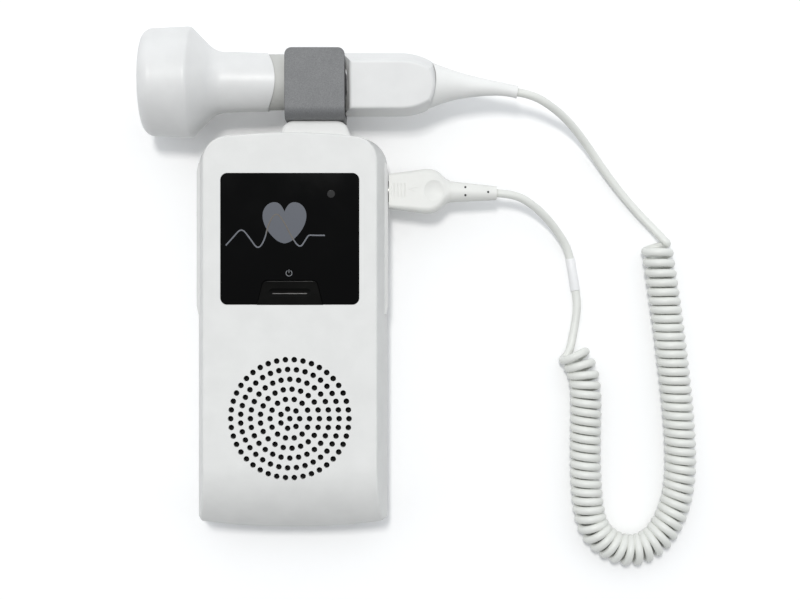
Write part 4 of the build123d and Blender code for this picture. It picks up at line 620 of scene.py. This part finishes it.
# %% The table of finishes
FINISHES = {
    "shell": moulded("shell", (225, 225, 223), 0.5, specular=0.25),
    "trim": moulded("trim", (222, 222, 220), 0.5),
    "panel_black": polished("panel_black", 4, 0.05, 0.04),
    "key_black": moulded("key_black", (12, 12, 11), 0.16, grain=0.3, depth=0.002, cloud=1.5, specular=0.06),
    "silicone": moulded("silicone", (168, 169, 170), 0.72, grain=0.3, depth=0.02, cloud=4),
    "socket_black": moulded("socket_black", (36, 36, 37), 0.5, grain=0.2, depth=0.015, cloud=3),
    "lens_smoke": polished("lens_smoke", 46, 0.1, 0.06),
    "lamp": moulded("lamp", (218, 216, 206), 0.16, grain=0.5, depth=0.01),
    "board_green": board_finish("board_green"),
    "chip_black": moulded("chip_black", (34, 34, 35), 0.6, grain=0.1, depth=0.02, cloud=5),
    "screw_steel": metal("screw_steel", (190, 191, 193), 0.26, 0.5, (4, 1, 1)),
    "cloth_black": woven("cloth_black", 26, 0.85),
    "basket_steel": metal("basket_steel", (178, 179, 181), 0.38, 0.4, (1, 3, 1)),
    "magnet_dark": moulded("magnet_dark", (72, 72, 74), 0.62, grain=0.25, depth=0.05, cloud=8),
    "cone_paper": moulded("cone_paper", (54, 52, 49), 0.86, grain=0.6, depth=0.08, cloud=9),
    "contact_metal": metal("contact_metal", (160, 159, 157), 0.34, 0.6, (1, 4, 1)),
    "pin_gold": metal("pin_gold", (230, 196, 128), 0.2, 0.3),
    "cell_jacket": cell_finish("cell_jacket"),
    "clip_metal": metal("clip_metal", (116, 117, 118), 0.55, 0.3, swing=11, bare=0.15),
    "probe_white": moulded("probe_white", (226, 226, 225), 0.38, specular=0.5),
    "grip_grey": moulded("grip_grey", (196, 196, 192), 0.62, grain=0.22, depth=0.02),
    "boot_white": moulded("boot_white", (236, 236, 234), 0.5, grain=0.3),
    "ceramic": moulded("ceramic", (226, 222, 214), 0.3, grain=0.2, depth=0.01, cloud=3),
    "backing": moulded("backing", (74, 70, 62), 0.8, grain=0.5, depth=0.08, cloud=10),
    "plug_white": moulded("plug_white", (230, 230, 226), 0.46, grain=0.24),
    "cord_jacket": moulded("cord_jacket", (228, 229, 224), 0.4, grain=0.2, depth=0.01),
    "sleeve_white": moulded("sleeve_white", (241, 241, 241), 0.36, grain=0.9, depth=0.03),
}

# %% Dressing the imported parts
slots = {part["node"]: part["material_slot"] for part in frame["record"]["subparts"]}
for node, part in frame["nodes"].items():
    for place in part.material_slots:
        place.material = FINISHES[slots[node]]
print("dressed:", len(slots), "parts with", len(set(slots.values())), "finishes")

# %% [markdown]
# ## The cord's pieces
# The curly wire and the short stretch to the plug are round tubes carried along their paths. The sleeve
# between them is a short length of shrunk tubing with rounded lips: its wall's outline goes once round the
# wall, and is carried round the cord, so the grid closes on itself both ways.

# %% The two tubes
CURLY_SIDES = 16
PLUG_CORD_SIDES = 24
JACKET = FINISHES["cord_jacket"]
curly = surface("curly_cord", tube_grid(whole_path, CORD_R * MM, whole_out, CURLY_SIDES), JACKET)
plug_cord = surface("plug_cord", tube_grid(plug_path, CORD_R * MM, plug_out, PLUG_CORD_SIDES), JACKET)
print("tubes:", len(curly.data.polygons), "and", len(plug_cord.data.polygons), "faces")

# %% The marker sleeve
SLEEVE_R = 1.9
SLEEVE_LIP = 0.2
SLEEVE_BORE = 1.62
SLEEVE_SIDES = 48
LIP_STEPS = 6


def sleeve_grid(start, end, outer, inner, lip):
    """The wall's outline as radius and distance along the line: out of the bore, over a rounded lip, along
    the outside, over the other lip and back. Each row of the grid is one point of it, carried once round."""
    a, b = np.array(start) * MM, np.array(end) * MM
    ahead = unit(b - a)
    side = unit(np.cross(ahead, [0, 0, 1.0]))
    up = np.cross(side, ahead)
    length = np.linalg.norm(b - a)
    corner = np.linspace(0, np.pi / 2, LIP_STEPS)
    rise, fall = lip * np.sin(corner), lip * np.cos(corner)
    radii = np.concatenate([[inner], outer - lip + rise, outer - lip + fall, [inner]])
    along = np.concatenate([[0], lip - fall, length - lip + rise, [length]])
    turn = np.linspace(0, 2 * np.pi, SLEEVE_SIDES, endpoint=False)
    ring = np.cos(turn)[:, None] * side + np.sin(turn)[:, None] * up
    return a + along[:, None, None] * ahead + radii[:, None, None] * ring[None]


sleeve = surface("marker_sleeve", sleeve_grid(*SLEEVE, SLEEVE_R * MM, SLEEVE_BORE * MM, SLEEVE_LIP * MM),
                 FINISHES["sleeve_white"], "main", ring=True)

# %% [markdown]
# ## The print
# The panel carries a heart with a pulse line across it, and a small power sign above the key. Real print is a
# film of ink a few hundredths of a millimetre thick. Here each mark is a thin closed piece of that kind,
# lying on the surface that a ray dropped onto the part finds below it.

# %% Ink, and where it lies
INK = 0.03 * MM
INK_SHINE = 0.1            # the specular level of ink
MESH_SIZE = 0.25 * MM      # of the screen that ink is pressed through


def ink(name, colour, rough=0.3):
    """Screened ink: an even tone with a very fine mottle from the mesh it was pressed through."""
    recipe = Recipe(name)
    mesh_mark = recipe.noise(MESH_SIZE, 2.0)
    recipe.feed("Base Color", recipe.mix(mesh_mark, tone(*colour, -3), tone(*colour, 3)))
    recipe.feed("Roughness", rough + 0.08 * mesh_mark)
    recipe.feed("Specular IOR Level", INK_SHINE)
    recipe.bump(mesh_mark, 0.004 * MM, 0.5)
    return recipe.material


def landing(node, start, heading):
    """Where a ray from a start point first meets the part, in metres."""
    hit, spot, _, _ = frame["nodes"][node].ray_cast(Vector(start), Vector(heading))
    assert hit, (node, start)
    return spot


def surface_height(node, x, y):
    """How high the part's outer skin is at a place: a ray comes straight down onto it from well above."""
    return landing(node, (x, y, 0.2), (0, 0, -1)).z


PANEL_TOP = surface_height("display_panel", 10 * MM, 28 * MM)
print("panel top:", round(1000 * PANEL_TOP, 2), "mm")

# %% The heart
HEART_X = -2.05
HEART_MIDDLE_Y = 42.6
HEART_STEP = 0.3 * MM
HEART_HALF = [(0, 46.4), (1.1, 49.2), (3.8, 50.4), (6.8, 49.3), (8.5, 46.5),
              (8.5, 43.4), (7.3, 40.1), (4.9, 36.9), (2.0, 34.4), (0, 34.1)]


def heart_grid():
    """The right half of the outline is a smooth spline from the notch to the tip, and the left half is the
    same line with its X turned round. The rows are a small ring under the middle, the rim's foot, the rim's
    top, and a small ring on top."""
    half = smooth_steps(spline([(x, y, 0) for x, y in HEART_HALF]), HEART_STEP)[:, :2]
    rim = np.vstack([half, half[-2:0:-1] * (-1, 1)]) + (HEART_X * MM, 0)
    middle = np.array([HEART_X, HEART_MIDDLE_Y]) * MM
    small = middle + 0.02 * (rim - middle)
    heights = PANEL_TOP + np.array([-INK, -INK, INK, INK])
    flat = np.stack([small, rim, rim, small])
    return np.concatenate([flat, np.broadcast_to(heights[:, None, None], flat.shape[:2] + (1,))], 2)


heart = surface("heart_mark", heart_grid(), ink("ink_heart", (94, 97, 104)), "main")
heart.data.shade_flat()

# %% The pulse line
PULSE_WIDTH = 0.6
CROSSING_X = -3.8          # the middle of the stretch that crosses the heart
CROSSING_HALF = 5.3
PULSE_POINTS = [(-24.8, 33.31), (-21.99, 36.41), (-18.7, 40.24), (-15.4, 36.02), (-12.38, 31.61),
                (-9.75, 35.25), (-8.28, 41.83), (-5.26, 46.44), (-2.23, 42.61), (0.87, 36.22),
                (3.96, 32.11), (6.21, 35.64), (7.3, 37.38), (8.61, 37.22), (13.65, 37.22)]
INSIDE, OUTSIDE = (108, 103, 97), (110, 112, 118)
LINE_STEP = 0.12 * MM
LINE_SIDES = 8
LINE_LIFT = 0.3 * INK      # from the surface to the middle of a line


def flat_line(name, points, width, height, material, body):
    """A line of ink: an ellipse as wide as the line, reaching twice the ink's height either way, carried
    along the spline."""
    path = smooth_steps(spline([(x, y, 0) for x, y in points]), LINE_STEP)
    path[:, 2] = height + LINE_LIFT
    sideways = np.cross(unit(np.gradient(path, axis=0)), [0, 0, 1.0])
    half = width / 2 * MM
    return surface(name, tube_grid(path, half, sideways, LINE_SIDES, 2 * INK / half), material, body)


def pulse_ink():
    """Grey outside the heart and a warm, fainter brown inside it, changing over where the line crosses the
    heart's two edges."""
    recipe = Recipe("ink_pulse")
    split = recipe.node("SeparateXYZ", None, recipe.place)
    away = (split.out("X") - CROSSING_X * MM).maths("ABSOLUTE")
    outside = away.above(CROSSING_HALF * MM, 0.3 * MM)
    recipe.feed("Base Color", recipe.mix(outside, tone(*INSIDE), tone(*OUTSIDE)))
    recipe.feed("Roughness", 0.3 + 0.08 * recipe.noise(MESH_SIZE))
    recipe.feed("Specular IOR Level", INK_SHINE)
    return recipe.material


pulse = flat_line("pulse_mark", PULSE_POINTS, PULSE_WIDTH, PANEL_TOP, pulse_ink(), "main")

# %% The power sign above the key
SIGN_X, SIGN_Y, SIGN_R, SIGN_LINE = -0.3, 22.6, 1.15, 0.3
SIGN_GAP = np.radians(32)  # half of the ring's opening
SIGN_POINTS = 24
sweep = np.linspace(np.pi / 2 + SIGN_GAP, np.pi / 2 + 2 * np.pi - SIGN_GAP, SIGN_POINTS)
sign_ink = ink("ink_sign", (128, 130, 133))
ring = np.stack([SIGN_X + SIGN_R * np.cos(sweep), SIGN_Y + SIGN_R * np.sin(sweep)], 1)
power_ring = flat_line("power_sign_ring", ring, SIGN_LINE, PANEL_TOP, sign_ink, "main")
bar = [(SIGN_X, SIGN_Y + up) for up in (0.1, 0.7, 1.4)]
power_bar = flat_line("power_sign_bar", bar, SIGN_LINE, PANEL_TOP, sign_ink, "main")
print("print:", heart.name, pulse.name, power_ring.name, power_bar.name)

# %% [markdown]
# ## Small things on the plug
# The plug has a faint arrow moulded on its back and three light beads along its side. Its relief holes are
# narrow and deep; a dark dome a little way down in each is painted shade that stands for their dark inside.

# %% The arrow, the beads and the painted shade in the holes on the plug
ARROW_POINTS = [(50.4, 57.3), (46.9, 56.3), (45.6, 56.1), (46.9, 55.9), (49.4, 55.1)]
ARROW_WIDTH = 0.3
BEAD_XS = (41.0, 42.8, 44.7)
BEAD_R = 0.42
BEAD_Z = 16.6
HOLES_AT = ((68.7, 57.1), (68.7, 53.9), (77.8, 55.2))
HOLE_R = 0.44
HOLE_DOWN = 0.3            # from the plug's surface to the dark inside
HOLE_SIDE = 0.9            # from a hole's middle to where the surface is felt
DOME_ROWS, DOME_SIDES = 7, 16


def dome_grid(centre, radius, rise, facing):
    """A low dome: rings of radius times cos a about the way it faces, raised by the rise times sin a, with a
    from a little below the rim to nearly the top."""
    a = np.linspace(-0.5, 0.98, DOME_ROWS) * np.pi / 2
    turn = np.linspace(0, 2 * np.pi, DOME_SIDES, endpoint=False)
    side, out = np.array((1.0, 0.0, 0.0)), np.array(facing, float)
    up = np.cross(out, side)
    round_about = np.cos(turn)[:, None] * side + np.sin(turn)[:, None] * up
    return centre + radius * np.cos(a)[:, None, None] * round_about + rise * np.sin(a)[:, None, None] * out


arrow_height = surface_height("plug_body", 47 * MM, 56.3 * MM)
arrow_ink = FINISHES["plug_white"]
plug_marks = [flat_line("plug_arrow", ARROW_POINTS, ARROW_WIDTH, arrow_height, arrow_ink, "plug")]
for number, x in enumerate(BEAD_XS, 1):
    spot = landing("plug_body", (x * MM, 0.0, BEAD_Z * MM), (0, 1, 0))
    bead = dome_grid(np.array(spot), BEAD_R * MM, 0.5 * BEAD_R * MM, (0, -1, 0))
    plug_marks.append(surface(f"plug_bead_{number}", bead, FINISHES["sleeve_white"], "plug"))
# Each relief hole gets a dark dome of painted shade, a little below the plug's surface.
for number, (x, y) in enumerate(HOLES_AT, 1):
    low = surface_height("plug_body", (x + HOLE_SIDE) * MM, y * MM) - HOLE_DOWN * MM
    painted_shade_dome = dome_grid(np.array((x * MM, y * MM, low)), HOLE_R * MM, 0.1 * MM, (0, 0, 1))
    plug_marks.append(surface(f"plug_hole_painted_shade_{number}", painted_shade_dome, FINISHES["socket_black"], "plug"))
print("plug:", ", ".join(mark.name for mark in plug_marks))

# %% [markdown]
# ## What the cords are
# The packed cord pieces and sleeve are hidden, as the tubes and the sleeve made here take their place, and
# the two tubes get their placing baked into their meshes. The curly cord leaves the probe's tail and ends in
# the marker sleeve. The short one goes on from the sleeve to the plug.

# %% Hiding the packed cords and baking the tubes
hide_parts("cord_probe_lead", "cord_curl", "cord_tail_lead")
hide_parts("cord_plug_lead")
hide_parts("cord_sleeve")
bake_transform(curly)
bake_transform(plug_cord)
